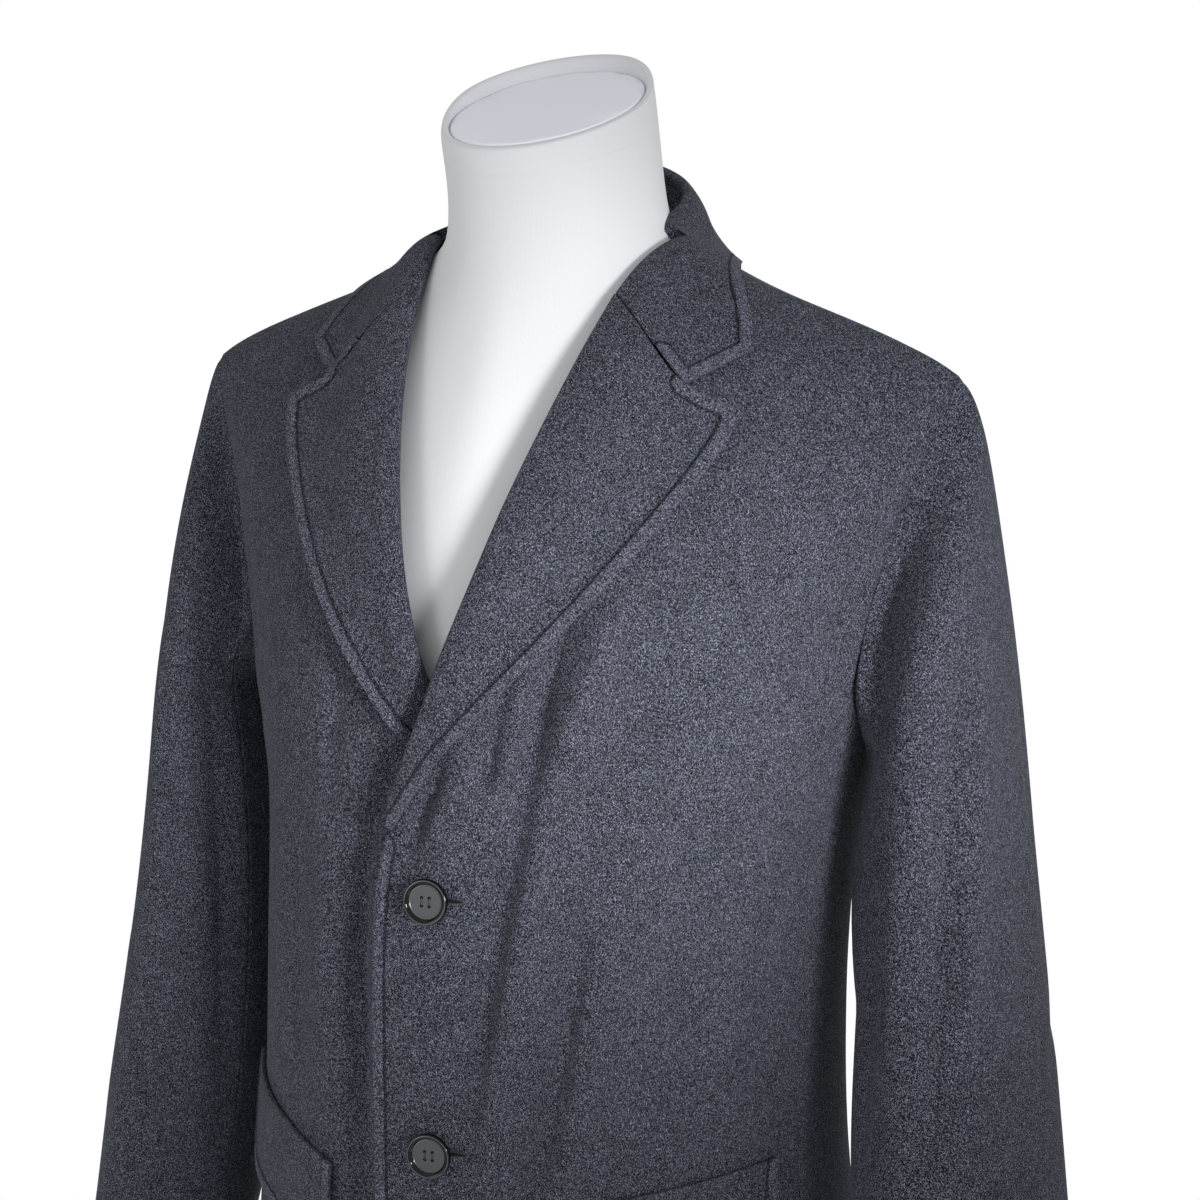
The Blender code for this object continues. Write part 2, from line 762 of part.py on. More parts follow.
def sleeve_sheets(side):
    """Outer and inner points of the whole sleeve, kept clear of the body's edge at the armhole."""
    outer, loop, away = sleeve_rings(side)
    rows, count = len(outer), len(loop)
    inner = []
    for r in range(rows):
        ring = []
        for k in range(count):
            along = outer[r][(k + 1) % count] - outer[r][k - 1]
            down = outer[min(r + 1, rows - 1)][k] - outer[max(r - 1, 0)][k]
            ring.append(outer[r][k] - unit(np.cross(along, down)) * WALL)
        inner.append(ring)
    for k, (point, _) in enumerate(loop):
        short = ARMHOLE_GAP - np.dot(inner[0][k] - point, away[k])
        if short > 0 and armhole_lap(point[2]) < 0.5:
            inner[0][k] = inner[0][k] + away[k] * short
    return outer, inner


def sleeve_piece(name, side, first, last, collection, cloth):
    """The part of a sleeve between two of its lengthwise seams."""
    sheets = []
    for sheet in sleeve_sheets(side):
        rows = []
        for ring in sheet:
            row = [ring[k % len(ring)] for k in range(first, last + 1)]
            start, end = unit(row[1] - row[0]) * HALF_GAP, unit(row[-2] - row[-1]) * HALF_GAP
            row[0], row[-1] = row[0] + start, row[-1] + end
            rows.append([on_side(side, point) for point in row])
        sheets.append(rows)
    wall_between(name, sheets, collection, cloth)


# Lapels and collar.


def offset_path(path, reach):
    """A flat path moved sideways by reach, with mitred corners."""
    moved = []
    last = len(path) - 1
    for k, spot in enumerate(path):
        here = np.array(spot)
        step_in = unit(here - np.array(path[k - 1])) if k > 0 else unit(np.array(path[1]) - here)
        step_out = unit(np.array(path[k + 1]) - here) if k < last else step_in
        side_in = np.array((-step_in[1], step_in[0]))
        side_out = np.array((-step_out[1], step_out[0]))
        bisector = unit(side_in + side_out)
        moved.append(here + bisector * reach / max(np.dot(bisector, side_in), 0.5))
    return moved


def lapel_path(width, z):
    """Section across a lapel, from inside the fold to its edge, as distances along and above the front."""
    radius = between(LOW_ROLL_RADIUS, ROLL_RADIUS, smooth(118.5, 126.0, z))
    start = -WALL / 2
    path = []
    for k in range(ROLL_STEPS + 1):
        angle = math.pi * k / ROLL_STEPS
        path.append((-FOLD_GAP - radius * math.sin(angle), start + radius * (1.0 - math.cos(angle))))
    crown = ROLL_CROWN * smooth(1.5, 6.0, width)
    flat = start + 2 * radius + LAPEL_LIFT
    for share in LAPEL_SHARES:
        bloom = crown * math.exp(-(((share - 0.24) / 0.2) ** 2))
        path.append((width * share, flat + bloom - LAPEL_LIFT * share))
    return path


def on_line(start, knee, end, share):
    """A place on a line that bends once, as x and z."""
    if share < KNEE_SHARE:
        return between(start, knee, share / KNEE_SHARE)
    return between(knee, end, (share - KNEE_SHARE) / (1.0 - KNEE_SHARE))


def laid_section(side, start, knee, end):
    """Outer and inner points of a section that folds over a front's edge and lies along a bent line."""
    base, tip = front_point(side, *start)[0], front_point(side, *end)[0]
    width = np.linalg.norm(tip - base)
    ahead = unit(front_point(side, *on_line(start, knee, end, 0.1))[0] - base)
    path = lapel_path(width, start[1])
    sheets = []
    for reach in (LAPEL_WALL / 2, -LAPEL_WALL / 2):
        row = []
        for along, above in offset_path(path, reach):
            point, normal = front_point(side, *on_line(start, knee, end, max(along, 0.0) / width))
            row.append(hung(side, point + ahead * min(along, 0.0) + normal * above))
        sheets.append(row)
    return sheets


def lapel_lines():
    """For each row of the lapel its place on the roll line, at the bend of the gorge and on its edge."""
    lines = []
    heights = [LAPEL_FOOT_Z, LOWER_HEIGHTS[-1]]
    heights += [between(UNDERARM_Z, NECK_SIDE_Z, share) for share in SHARES_UP[: -len(COLLAR_FRONT)]]
    for z_in in heights:
        share = (z_in - LAPEL_FOOT_Z) / (heights[-1] - LAPEL_FOOT_Z)
        z_out = between(LAPEL_FOOT_Z - 0.2, LAPEL_POINT_Z, share**0.92)
        start = np.array((read(ROLL_LINE, 1, z_in), z_in))
        end = np.array((read(LAPEL_EDGE, 1, z_out), z_out))
        knee = between(start, end, KNEE_SHARE) + np.array(NOTCH_SHIFT) * share**6
        lines.append((start, knee, end))
    return lines


def lapel(name, side, collection, cloth):
    sections = [laid_section(side, *line) for line in lapel_lines()]
    sheets = [[section[which] for section in sections] for which in (0, 1)]
    wall_between(name, sheets, collection, cloth)


def rest_on_coat(point):
    """Lifts a point of the collar so that it clears the shoulder below it."""
    x, y, z = point
    return np.array((x, y, max(z, surface_z(x, y) + COLLAR_REST)))


def collar_path(fold, middle, edge):
    """Centre line of the collar from inside the fold to its edge, and the direction that faces out."""
    back = unit(fold - middle)
    outward = np.array((middle[0], middle[1] + 2.5, 0.0))
    facing = unit(outward - np.dot(outward, back) * back)
    centre = fold - back * ROLL_RADIUS
    points = [centre - facing * ROLL_RADIUS - back * COLLAR_TAIL]
    for k in range(ROLL_STEPS + 1):
        angle = math.pi * k / ROLL_STEPS
        points.append(centre + (back * math.sin(angle) - facing * math.cos(angle)) * ROLL_RADIUS)
    turned = points[-1]
    for share in (0.33, 0.66, 1.0):
        points.append(between(turned, middle, share) + facing * 0.2 * math.sin(math.pi * share))
    for share in (0.5, 1.0):
        points.append(between(middle, edge, share))
    return points, facing


def wall_of_path(points, facing):
    """Outer and inner points either side of a line in space that bends within one plane."""
    plane = unit(np.cross(facing, points[-2] - points[2]))
    last = len(points) - 1
    outer, inner = [], []
    for k, point in enumerate(points):
        step_in = unit(point - points[k - 1]) if k > 0 else unit(points[1] - point)
        step_out = unit(points[k + 1] - point) if k < last else step_in
        side_in, side_out = unit(np.cross(step_in, plane)), unit(np.cross(step_out, plane))
        bisector = unit(side_in + side_out)
        reach = LAPEL_WALL / 2 / max(np.dot(bisector, side_in), 0.6)
        outer.append(point + bisector * reach)
        inner.append(point - bisector * reach)
    return outer, inner


def collar_back_sections():
    """Sections of the fall round the back of the neck, from the centre back to the shoulder."""
    sections = []
    for row in COLLAR_BACK:
        fold, middle, edge = np.array(row[0:3]), np.array(row[3:6]), np.array(row[6:9])
        points, facing = collar_path(fold, rest_on_coat(middle), rest_on_coat(edge))
        sections.append(wall_of_path(points, facing))
    return sections


def gorge_section(side):
    """The collar's last section, just above the lapel's top edge, ending at the collar's corner."""
    start, knee, _ = lapel_lines()[-1]
    step = np.array(GORGE_STEP)
    return laid_section(side, start + step, knee + step, np.array(COLLAR_CORNER))


def both_sides(sections_of):
    """Sections of one side after another, the wearer's right reversed, sharing the one at the centre back."""
    right, left = sections_of(-1), sections_of(1)
    return [*reversed(right[1:]), *left]


def mirrored(side, sections):
    return [[[on_side(side, point) for point in sheet] for sheet in section] for section in sections]


def fall_sections(side):
    sections = mirrored(side, collar_back_sections())
    for share, (knee_x, knee_z, end_x, end_z) in zip(reversed(SHARES_UP), COLLAR_FRONT):
        start_z = between(UNDERARM_Z, NECK_SIDE_Z, share)
        start = np.array((read(ROLL_LINE, 1, start_z), start_z))
        sections.append(laid_section(side, start, np.array((knee_x, knee_z)), np.array((end_x, end_z))))
    return [*sections, gorge_section(side)]


def stand_sections(side):
    """The standing part: from just above the neck seam up to the fall's inner edge."""
    sections = []
    for k, (neck_side, coat_side) in enumerate(collar_back_sections()):
        drop = unit(neck_side[0] - neck_side[1]) * SEAM_GAP
        across = unit(coat_side[0] - neck_side[0]) * LAPEL_WALL / 2
        foot = neck_seam(k) + np.array((0.0, 0.0, SEAM_GAP * 2))
        section = []
        for top, low in ((neck_side[0] + drop, foot - across), (coat_side[0] + drop, foot + across)):
            section.append([between(top, low, share) for share in (0.0, 0.5, 1.0)])
        sections.append(section)
    return mirrored(side, sections)


def collar_piece(name, sections_of, collection, cloth):
    sections = both_sides(sections_of)
    sheets = [[section[which] for section in sections] for which in (0, 1)]
    wall_between(name, sheets, collection, cloth)


def pocket_flap(name, side, collection, cloth):
    """A flap made from the front's points, moved out, with rounded lower corners."""
    columns, rows = POCKET_STEPS
    (x_in, z_in), (x_out, z_out) = POCKET_INNER, POCKET_OUTER
    sheets = ([], [])
    for r in range(rows + 1):
        down = r / rows
        sheet_rows = ([], [])
        for c in range(columns + 1):
            share = 0.5 - 0.5 * math.cos(math.pi * c / columns)
            from_end = min(share, 1.0 - share) * (x_out - x_in) * 1.35
            within = max(POCKET_CORNER - from_end, 0.0)
            cut = POCKET_CORNER - math.sqrt(POCKET_CORNER**2 - within**2)
            z = between(z_in, z_out, share) - down * (POCKET_DROP - cut)
            point, normal = front_point(side, between(x_in, x_out, share), z)
            rise = POCKET_RISE + 0.1 * math.sin(math.pi * min(down, 0.9)) + 0.06 * down
            for row, lift in zip(sheet_rows, (rise + LAPEL_WALL, rise)):
                row.append(hung(side, point + normal * lift))
        for sheet, row in zip(sheets, sheet_rows):
            sheet.append(row)
    wall_between(name, sheets, collection, cloth)


def button(name, spot, parts, cutters, surface):
    """A turned four-hole button with a rounded rim and a sunk middle, on the left front."""
    point, normal = front_point(1, *spot)
    mesh = bpy.data.meshes.new(name)
    points = [(radius * CM, 0.0, rise * CM) for radius, rise in BUTTON_PROFILE]
    mesh.from_pydata(points, [(k, k + 1) for k in range(len(points) - 1)], [])
    mesh.materials.append(surface)
    made = bpy.data.objects.new(name, mesh)
    parts.objects.link(made)
    turn = made.modifiers.new("turn", "SCREW")
    turn.axis = "Z"
    turn.angle = 2 * math.pi
    turn.screw_offset = 0.0
    turn.steps = turn.render_steps = BUTTON_SEGMENTS
    turn.use_merge_vertices = True
    turn.merge_threshold = 0.00001
    drill_shape = bmesh.new()
    for a in (-1, 1):
        for b in (-1, 1):
            hole = bmesh.ops.create_cone(
                drill_shape,
                cap_ends=True,
                segments=6,
                radius1=BUTTON_HOLE_RADIUS * CM,
                radius2=BUTTON_HOLE_RADIUS * CM,
                depth=BUTTON_HOLE_DEPTH * CM,
            )
            shift = (a * BUTTON_HOLE_REACH * CM, b * BUTTON_HOLE_REACH * CM, 0.0)
            bmesh.ops.translate(drill_shape, verts=hole["verts"], vec=shift)
    drill_mesh = bpy.data.meshes.new(name + "_drill")
    drill_shape.to_mesh(drill_mesh)
    drill_shape.free()
    drill = bpy.data.objects.new(name + "_drill", drill_mesh)
    drill.hide_render = True
    drill.display_type = "WIRE"
    cutters.objects.link(drill)
    cut = made.modifiers.new("holes", "BOOLEAN")
    cut.operation = "DIFFERENCE"
    cut.solver = "EXACT"
    cut.object = drill
    # Tipped a little towards the wearer's left, as a button on a thread shank hangs.
    facing = unit(normal + np.array(BUTTON_TIP))
    for thing in (made, drill):
        thing.location = (point + normal * BUTTON_SHANK) * CM
        thing.rotation_euler = (0.0, math.acos(facing[2]), math.atan2(facing[1], facing[0]))


# The dress form and its stand.


def inside_torso(x, y, z):
    """Whether a point is inside the form's torso, which follows the coat with a clear gap."""
    width = min(read(BODY, 1, z) - FORM_SIDE_INSET, FORM_SHOULDER_X)
    if abs(x) >= width:
        return False
    side = math.sqrt(1.0 - (x / width) ** 2)
    share = (shoulder_z(x) - FORM_SHOULDER_DROP - z) / DOME_HEIGHT
    column, roundness = (2, FRONT_ROUND) if y < 0 else (3, BACK_ROUND)
    return abs(y) < (read(BODY, column, z) - FORM_DEPTH_INSET) * side * dome(share, roundness)


def torso_reach(angle, z, centre_y):
    """How far the torso's section reaches from the neck's axis in one direction."""
    across, ahead = math.sin(angle), -math.cos(angle)
    low, high = 0.0, 26.0
    for _ in range(24):
        middle = (low + high) / 2
        if inside_torso(across * middle, centre_y + ahead * middle, z):
            low = middle
        else:
            high = middle
    return low


def form_ring(z, tilt, shrink=0.0, lip=0.0):
    """A ring of the form, level or tipped forward, drawn in by shrink and raised at the back by lip."""
    radius, centre_y = read(NECK, 1, z), read(NECK, 2, z)
    ring = []
    for k in range(FORM_SEGMENTS):
        angle = 2 * math.pi * k / FORM_SEGMENTS
        torso = torso_reach(angle, z, centre_y)
        reach = (radius**FORM_BLEND + torso**FORM_BLEND) ** (1.0 / FORM_BLEND) - shrink
        behind = -math.cos(angle)
        raised = lip * smooth(*LIP_ENDS, -math.cos(angle - LIP_SWING))
        rise = CAP_TILT * tilt * reach * behind + raised
        ring.append(np.array((reach * math.sin(angle), reach * behind + centre_y, z + rise)))
    return ring


def form_body(collection, jersey):
    """Torso and neck as one closed loft. The neck is cut at a slant, with a rim that rises at the back."""
    rings = [form_ring(z, smooth(148.0, CAP_Z, z)) for z in FORM_HEIGHTS]
    rings[0] = [point * np.array((FORM_FOOT_SCALE, FORM_FOOT_SCALE, 1.0)) for point in rings[0]]
    rings.append(form_ring(CAP_Z, 1.0))
    for shrink, rise, lip in (
        (0.08, RIM_HEIGHT, LIP_HEIGHT),
        (RIM_WIDTH, RIM_HEIGHT, LIP_HEIGHT),
        (RIM_WIDTH + 0.04, 0.0, 0.0),
    ):
        ring = form_ring(CAP_Z, 1.0, shrink, lip)
        rings.append([point + np.array((0.0, 0.0, rise)) for point in ring])
    shape = bmesh.new()
    made = [[shape.verts.new(point) for point in ring] for ring in rings]
    for low, high in zip(made, made[1:]):
        for k in range(FORM_SEGMENTS):
            n = (k + 1) % FORM_SEGMENTS
            shape.faces.new((low[k], low[n], high[n], high[k]))
    shape.faces.new(made[0])
    shape.faces.new(made[-1])
    finish("form_body", shape, collection, jersey)


def form_neck_cap(collection, cap):
    """A thin disc inside the rim, on the slanted top of the neck."""
    radius, centre_y = read(NECK, 1, CAP_Z) - RIM_WIDTH - 0.04 - SEAM_GAP * 2, read(NECK, 2, CAP_Z)
    shape = bmesh.new()
    bmesh.ops.create_cone(
        shape,
        cap_ends=True,
        segments=FORM_SEGMENTS,
        radius1=radius,
        radius2=radius - 0.06,
        depth=CAP_THICKNESS,
    )
    lift = CAP_Z + SEAM_GAP + CAP_THICKNESS / 2
    for vert in shape.verts:
        x, y, z = vert.co
        vert.co = (x, y + centre_y, z + lift + CAP_TILT * y)
    finish("form_neck_cap", shape, collection, cap)


def disc(shape, radius, low, high, segments):
    bmesh.ops.create_cone(
        shape, cap_ends=True, segments=segments, radius1=radius, radius2=radius, depth=high - low
    )
    bmesh.ops.translate(shape, verts=shape.verts, vec=(0.0, 0.0, (high + low) / 2))


def stand_pole(collection, paint):
    shape = bmesh.new()
    disc(shape, POLE_RADIUS, FOOT_THICKNESS + SEAM_GAP, FORM_BOTTOM_Z - SEAM_GAP, 16)
    finish("stand_pole", shape, collection, paint)


def stand_base(collection, paint):
    """A flat round foot with an eased upper edge."""
    shape = bmesh.new()
    disc(shape, FOOT_RADIUS, 0.0, FOOT_THICKNESS, 36)
    rim = [edge for edge in shape.edges if all(vert.co.z > FOOT_THICKNESS - 0.01 for vert in edge.verts)]
    bmesh.ops.bevel(
        shape, geom=rim, offset=FOOT_EDGE, segments=2, profile=0.5, affect="EDGES", offset_type="OFFSET"
    )
    finish("stand_base", shape, collection, paint)


def build():
    for thing in list(bpy.data.objects):
        bpy.data.objects.remove(thing)
    parts = bpy.data.collections.new("overcoat_on_dress_form")
    cutters = bpy.data.collections.new("cutters")
    for collection in (parts, cutters):
        bpy.context.scene.collection.children.link(collection)
    ring_points = len(SHARES_UP) * 2 - 2
    for side, word in ((1, "left"), (-1, "right")):
        wool = material(f"wool_{word}", WOOL, 0.9)
        cloth_panel(f"{word}_front", front_rows(side), parts, wool)
        cloth_panel(f"{word}_back", back_rows(side), parts, wool)
        upper = (SLEEVE_BACK_SEAM - ring_points, SLEEVE_FRONT_SEAM)
        sleeve_piece(f"{word}_upper_sleeve", side, *upper, parts, wool)
        sleeve_piece(f"{word}_under_sleeve", side, SLEEVE_FRONT_SEAM, SLEEVE_BACK_SEAM, parts, wool)
        lapel(f"{word}_lapel", side, parts, wool)
        pocket_flap(f"{word}_pocket_flap", side, parts, wool)
    wool = material("wool_collar", WOOL, 0.9)
    collar_piece("collar_fall", fall_sections, parts, wool)
    collar_piece("collar_stand", stand_sections, parts, wool)
    polished = material("polished_button", BUTTON_BLACK, 0.2)
    for number, spot in enumerate(BUTTONS, 1):
        button(f"button_{number}", spot, parts, cutters, polished)
    form_body(parts, material("white_jersey", JERSEY, 0.85))
    form_neck_cap(parts, material("cap_cover", CAP_GREY, 0.8))
    paint = material("painted_steel", STAND_GREY, 0.45, 0.3)
    stand_pole(parts, paint)
    stand_base(parts, paint)


build()
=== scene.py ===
"""A single-breasted wool overcoat, buttoned, on a limbless dress form with a pole and a round foot.

The wearer faces -Y, the wearer's left is +X and +Z is up.
Lengths are metres unless a name or a comment says otherwise.
"""

import math

import bmesh
import bpy
import numpy as np
from mathutils import Matrix, Vector
from mathutils.bvhtree import BVHTree
from mathutils.kdtree import KDTree


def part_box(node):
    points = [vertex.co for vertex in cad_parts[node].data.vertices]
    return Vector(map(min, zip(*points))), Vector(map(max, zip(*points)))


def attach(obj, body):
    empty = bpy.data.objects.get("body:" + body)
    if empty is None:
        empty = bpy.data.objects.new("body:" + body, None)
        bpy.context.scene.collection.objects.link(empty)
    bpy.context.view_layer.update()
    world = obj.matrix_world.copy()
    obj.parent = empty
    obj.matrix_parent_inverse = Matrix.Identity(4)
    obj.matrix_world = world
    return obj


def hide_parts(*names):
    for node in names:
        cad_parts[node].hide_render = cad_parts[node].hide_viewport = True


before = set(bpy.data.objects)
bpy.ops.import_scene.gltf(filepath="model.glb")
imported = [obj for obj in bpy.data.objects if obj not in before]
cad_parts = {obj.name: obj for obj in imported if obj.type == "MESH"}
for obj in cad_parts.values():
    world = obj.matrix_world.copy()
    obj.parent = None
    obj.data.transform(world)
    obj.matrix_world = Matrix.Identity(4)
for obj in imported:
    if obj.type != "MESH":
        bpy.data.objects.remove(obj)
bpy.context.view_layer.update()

CM = 0.01
MM = 0.001

# Foot and pole. The real ones are a round steel foot and a steel tube that holds the form up.
# Both are coated with smooth grey paint, with the foot's upper edge rounded over.


def linear(code):
    """An sRGB hex colour as linear values."""
    levels = [int(code[k : k + 2], 16) / 255 for k in (0, 2, 4)]
    return (*[v / 12.92 if v <= 0.04045 else ((v + 0.055) / 1.055) ** 2.4 for v in levels], 1.0)


def finish_of(name, code, roughness, settings=()):
    """A material for one finish: its colour, its roughness and any other settings of the shader."""
    made = bpy.data.materials.new(name)
    made.use_nodes = True
    shader = made.node_tree.nodes["Principled BSDF"]
    shader.inputs["Base Color"].default_value = linear(code)
    shader.inputs["Roughness"].default_value = roughness
    for socket, value in dict(settings).items():
        shader.inputs[socket].default_value = value
    return made


def mesh_of(shape, name):
    """Turns a finished bmesh into a smooth-shaded mesh."""
    bmesh.ops.recalc_face_normals(shape, faces=shape.faces)
    mesh = bpy.data.meshes.new(name)
    shape.to_mesh(mesh)
    shape.free()
    mesh.shade_smooth()
    return mesh


def show(name, mesh, finish, nodes=()):
    """Puts a finished mesh in the scene as one piece, in the place of the solids that it stands for."""
    piece = bpy.data.objects.new(name, mesh)
    bpy.context.scene.collection.objects.link(piece)
    if not mesh.materials:
        mesh.materials.append(finish)
    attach(piece, "root")
    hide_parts(*nodes)
    return piece


# Grey stove enamel, satin: a soft broad highlight.
grey_enamel = finish_of("grey_satin_enamel", "9A9CA0", 0.38, {"Metallic": 0.0, "Coat Weight": 0.3})
FOOT_EDGE = 5 * MM
SHARP_ABOVE = math.radians(40)
for node, segments in (("stand_base", 128), ("stand_pole", 64)):
    low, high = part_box(node)
    radius = (high.x - low.x) / 2
    shape = bmesh.new()
    bmesh.ops.create_cone(
        shape,
        cap_ends=True,
        segments=segments,
        radius1=radius,
        radius2=radius,
        depth=high.z - low.z,
    )
    bmesh.ops.translate(shape, verts=shape.verts, vec=(low + high) / 2)
    if node == "stand_base":
        rim = [e for e in shape.edges if all(v.co.z > high.z - MM for v in e.verts)]
        bmesh.ops.bevel(
            shape, geom=rim, offset=FOOT_EDGE, segments=5, profile=0.5, affect="EDGES", material=-1
        )
    mesh = mesh_of(shape, node + "_painted")
    mesh.set_sharp_from_angle(angle=SHARP_ABOVE)
    show(node + "_painted", mesh, grey_enamel, [node])

# Form. A moulded torso and neck under a tight white jersey cover, cut at a slant at the top.
# The cover is machine knit, with faint upright ribs.
# A thin seam runs round it below the rim of the neck.
RIM_TURN = math.radians(50)


def add_node(finish, kind, settings=(), links=()):
    """Adds a node to a finish, sets its properties and sockets, and links (source, output, input)."""
    tree = finish.node_tree
    node = tree.nodes.new(kind)
    for key, value in dict(settings).items():
        if isinstance(key, str) and hasattr(node, key):
            setattr(node, key, value)
        else:
            node.inputs[key].default_value = value
    for source, output, socket in links:
        tree.links.new(source.outputs[output], node.inputs[socket])
    return node


def link_shader(finish, source, output, socket):
    """Links a node to a finish's shader."""
    shader = finish.node_tree.nodes["Principled BSDF"]
    finish.node_tree.links.new(source.outputs[output], shader.inputs[socket])


def soft_copy(node, levels, rim, stitched=None):
    """A solid's surface as one smooth skin, with its sewn edges marked.

    The rim, where the surface turns sharply, stays as crisp as rim says, from 0 to 1.
    """
    shape = bmesh.new()
    shape.from_mesh(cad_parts[node].data)
    bmesh.ops.remove_doubles(shape, verts=shape.verts, dist=0.02 * MM)
    bmesh.ops.join_triangles(
        shape,
        faces=shape.faces,
        angle_face_threshold=1.0,
        angle_shape_threshold=math.pi,
        topology_influence=1.0,
    )
    bmesh.ops.recalc_face_normals(shape, faces=shape.faces)
    crease = shape.edges.layers.float.new("crease_edge")
    for edge in shape.edges:
        ends = [vert.co for vert in edge.verts]
        turns = edge.calc_face_angle(0.0) > RIM_TURN
        edge.smooth = True
        edge[crease] = rim if turns else 0.0
        edge.seam = bool(turns and stitched and stitched((ends[0] + ends[1]) / 2, ends[1] - ends[0]))
    plain = bpy.data.meshes.new(node + "_plain")
    shape.to_mesh(plain)
    shape.free()
    for extra in ("custom_normal", "sharp_edge", "sharp_face"):
        if extra in plain.attributes:
            plain.attributes.remove(plain.attributes[extra])
    plain.materials.clear()
    holder = bpy.data.objects.new(node + "_plain", plain)
    bpy.context.scene.collection.objects.link(holder)
    rounder = holder.modifiers.new("round", "SUBSURF")
    rounder.levels = rounder.render_levels = levels
    ready = holder.evaluated_get(bpy.context.evaluated_depsgraph_get())
    mesh = bpy.data.meshes.new_from_object(ready)
    bpy.data.objects.remove(holder)
    mesh.name = node + "_skin"
    mesh.shade_smooth()
    return mesh


def points_of(mesh):
    """The points of a mesh as rows of x, y and z."""
    spots = np.empty(len(mesh.vertices) * 3)
    mesh.vertices.foreach_get("co", spots)
    return spots.reshape(-1, 3)


def keep_value(mesh, name, values):
    """Keeps one number for each point of a mesh under a name."""
    held = mesh.attributes.get(name) or mesh.attributes.new(name, "FLOAT", "POINT")
    held.data.foreach_set("value", np.asarray(values, np.float32))


# White stretch jersey: matte, with soft upright ribs. They are about 0.9 mm apart and drawn a little coarser.
RIB_SIZE = (1.1 * MM, 1.1 * MM, 14 * MM)
white_jersey = finish_of("white_stretch_jersey", "D9DBDE", 0.9, {"Sheen Weight": 0.1})
place = add_node(white_jersey, "ShaderNodeTexCoord")
upright = add_node(
    white_jersey,
    "ShaderNodeMapping",
    {"vector_type": "TEXTURE", "Scale": RIB_SIZE},
    [(place, "Object", "Vector")],
)
ribs = add_node(
    white_jersey, "ShaderNodeTexNoise", {"Scale": 1.0, "Detail": 1.0}, [(upright, "Vector", "Vector")]
)
ribs_raised = add_node(
    white_jersey, "ShaderNodeBump", {"Strength": 0.5, "Distance": 0.2 * MM}, [(ribs, "Fac", "Height")]
)
from_seam = add_node(white_jersey, "ShaderNodeAttribute", {"attribute_name": "from_seam"})
seam_line = add_node(
    white_jersey,
    "ShaderNodeMapRange",
    {"interpolation_type": "SMOOTHSTEP", "From Min": 0.4 * MM, "From Max": 1.6 * MM},
    [(from_seam, "Fac", "Value")],
)
seam_raised = add_node(
    white_jersey,
    "ShaderNodeBump",
    {"Strength": 0.6, "Distance": 0.35 * MM},
    [(seam_line, "Result", "Height"), (ribs_raised, "Normal", "Normal")],
)
link_shader(white_jersey, seam_raised, "Normal", "Normal")

# The seam's height at the middle of the neck and its rise towards the back.
NECK_SEAM, NECK_SEAM_RISE = 153.15 * CM, 0.40
NECK_FROM = 140 * CM
# A distance that counts as nowhere near a seam or an edge.
FAR = 1.0
mesh = soft_copy("form_body", 2, 0.75)
spots = points_of(mesh)
seam_z = NECK_SEAM + spots[:, 1] * NECK_SEAM_RISE
keep_value(mesh, "from_seam", np.where(spots[:, 2] > NECK_FROM, abs(spots[:, 2] - seam_z), FAR))
show("form_jersey_cover", mesh, white_jersey, ["form_body"])

# Neck cap. A flat plate covered with pale blue-grey cloth, dropped into the slanted top of the neck.
# It lies a little below the soft rim that the jersey is drawn over.

# Pale blue-grey woven cloth: matte, with a fine weave that only just breaks up the light.
pale_cloth = finish_of("pale_cap_cloth", "EFF2FA", 0.85)
place = add_node(pale_cloth, "ShaderNodeTexCoord")
weave = add_node(
    pale_cloth,
    "ShaderNodeTexNoise",
    {"Scale": 900.0, "Detail": 2.0},
    [(place, "Object", "Vector")],
)
weave_raised = add_node(
    pale_cloth, "ShaderNodeBump", {"Strength": 0.4, "Distance": 0.1 * MM}, [(weave, "Fac", "Height")]
)
link_shader(pale_cloth, weave_raised, "Normal", "Normal")
show("neck_cap_cloth", soft_copy("form_neck_cap", 2, 0.85), pale_cloth, ["form_neck_cap"])

# Backs. Two panels of wool flannel, sewn to each other down the middle and to the fronts at the sides.
# They hang from the shoulders, with long soft hollows below the shoulder blades.
FIBRES = (
    # turn of the fibres in degrees, width and length in millimetres, where they start
    # a real fibre is about 0.02 mm thick, so each streak is drawn more than ten times coarser
    ((0, 0, 0), 0.27, 0.9, (0.31, 0.17, 0.0)),
    ((28, 38, 0), 0.25, 0.8, (0.0, 0.71, 0.13)),
    ((-24, -44, 15), 0.26, 0.8, (0.57, 0.0, 0.29)),
    ((12, 82, 0), 0.24, 0.75, (0.11, 0.43, 0.61)),
    ((-18, -76, 20), 0.26, 0.8, (0.77, 0.23, 0.37)),
)

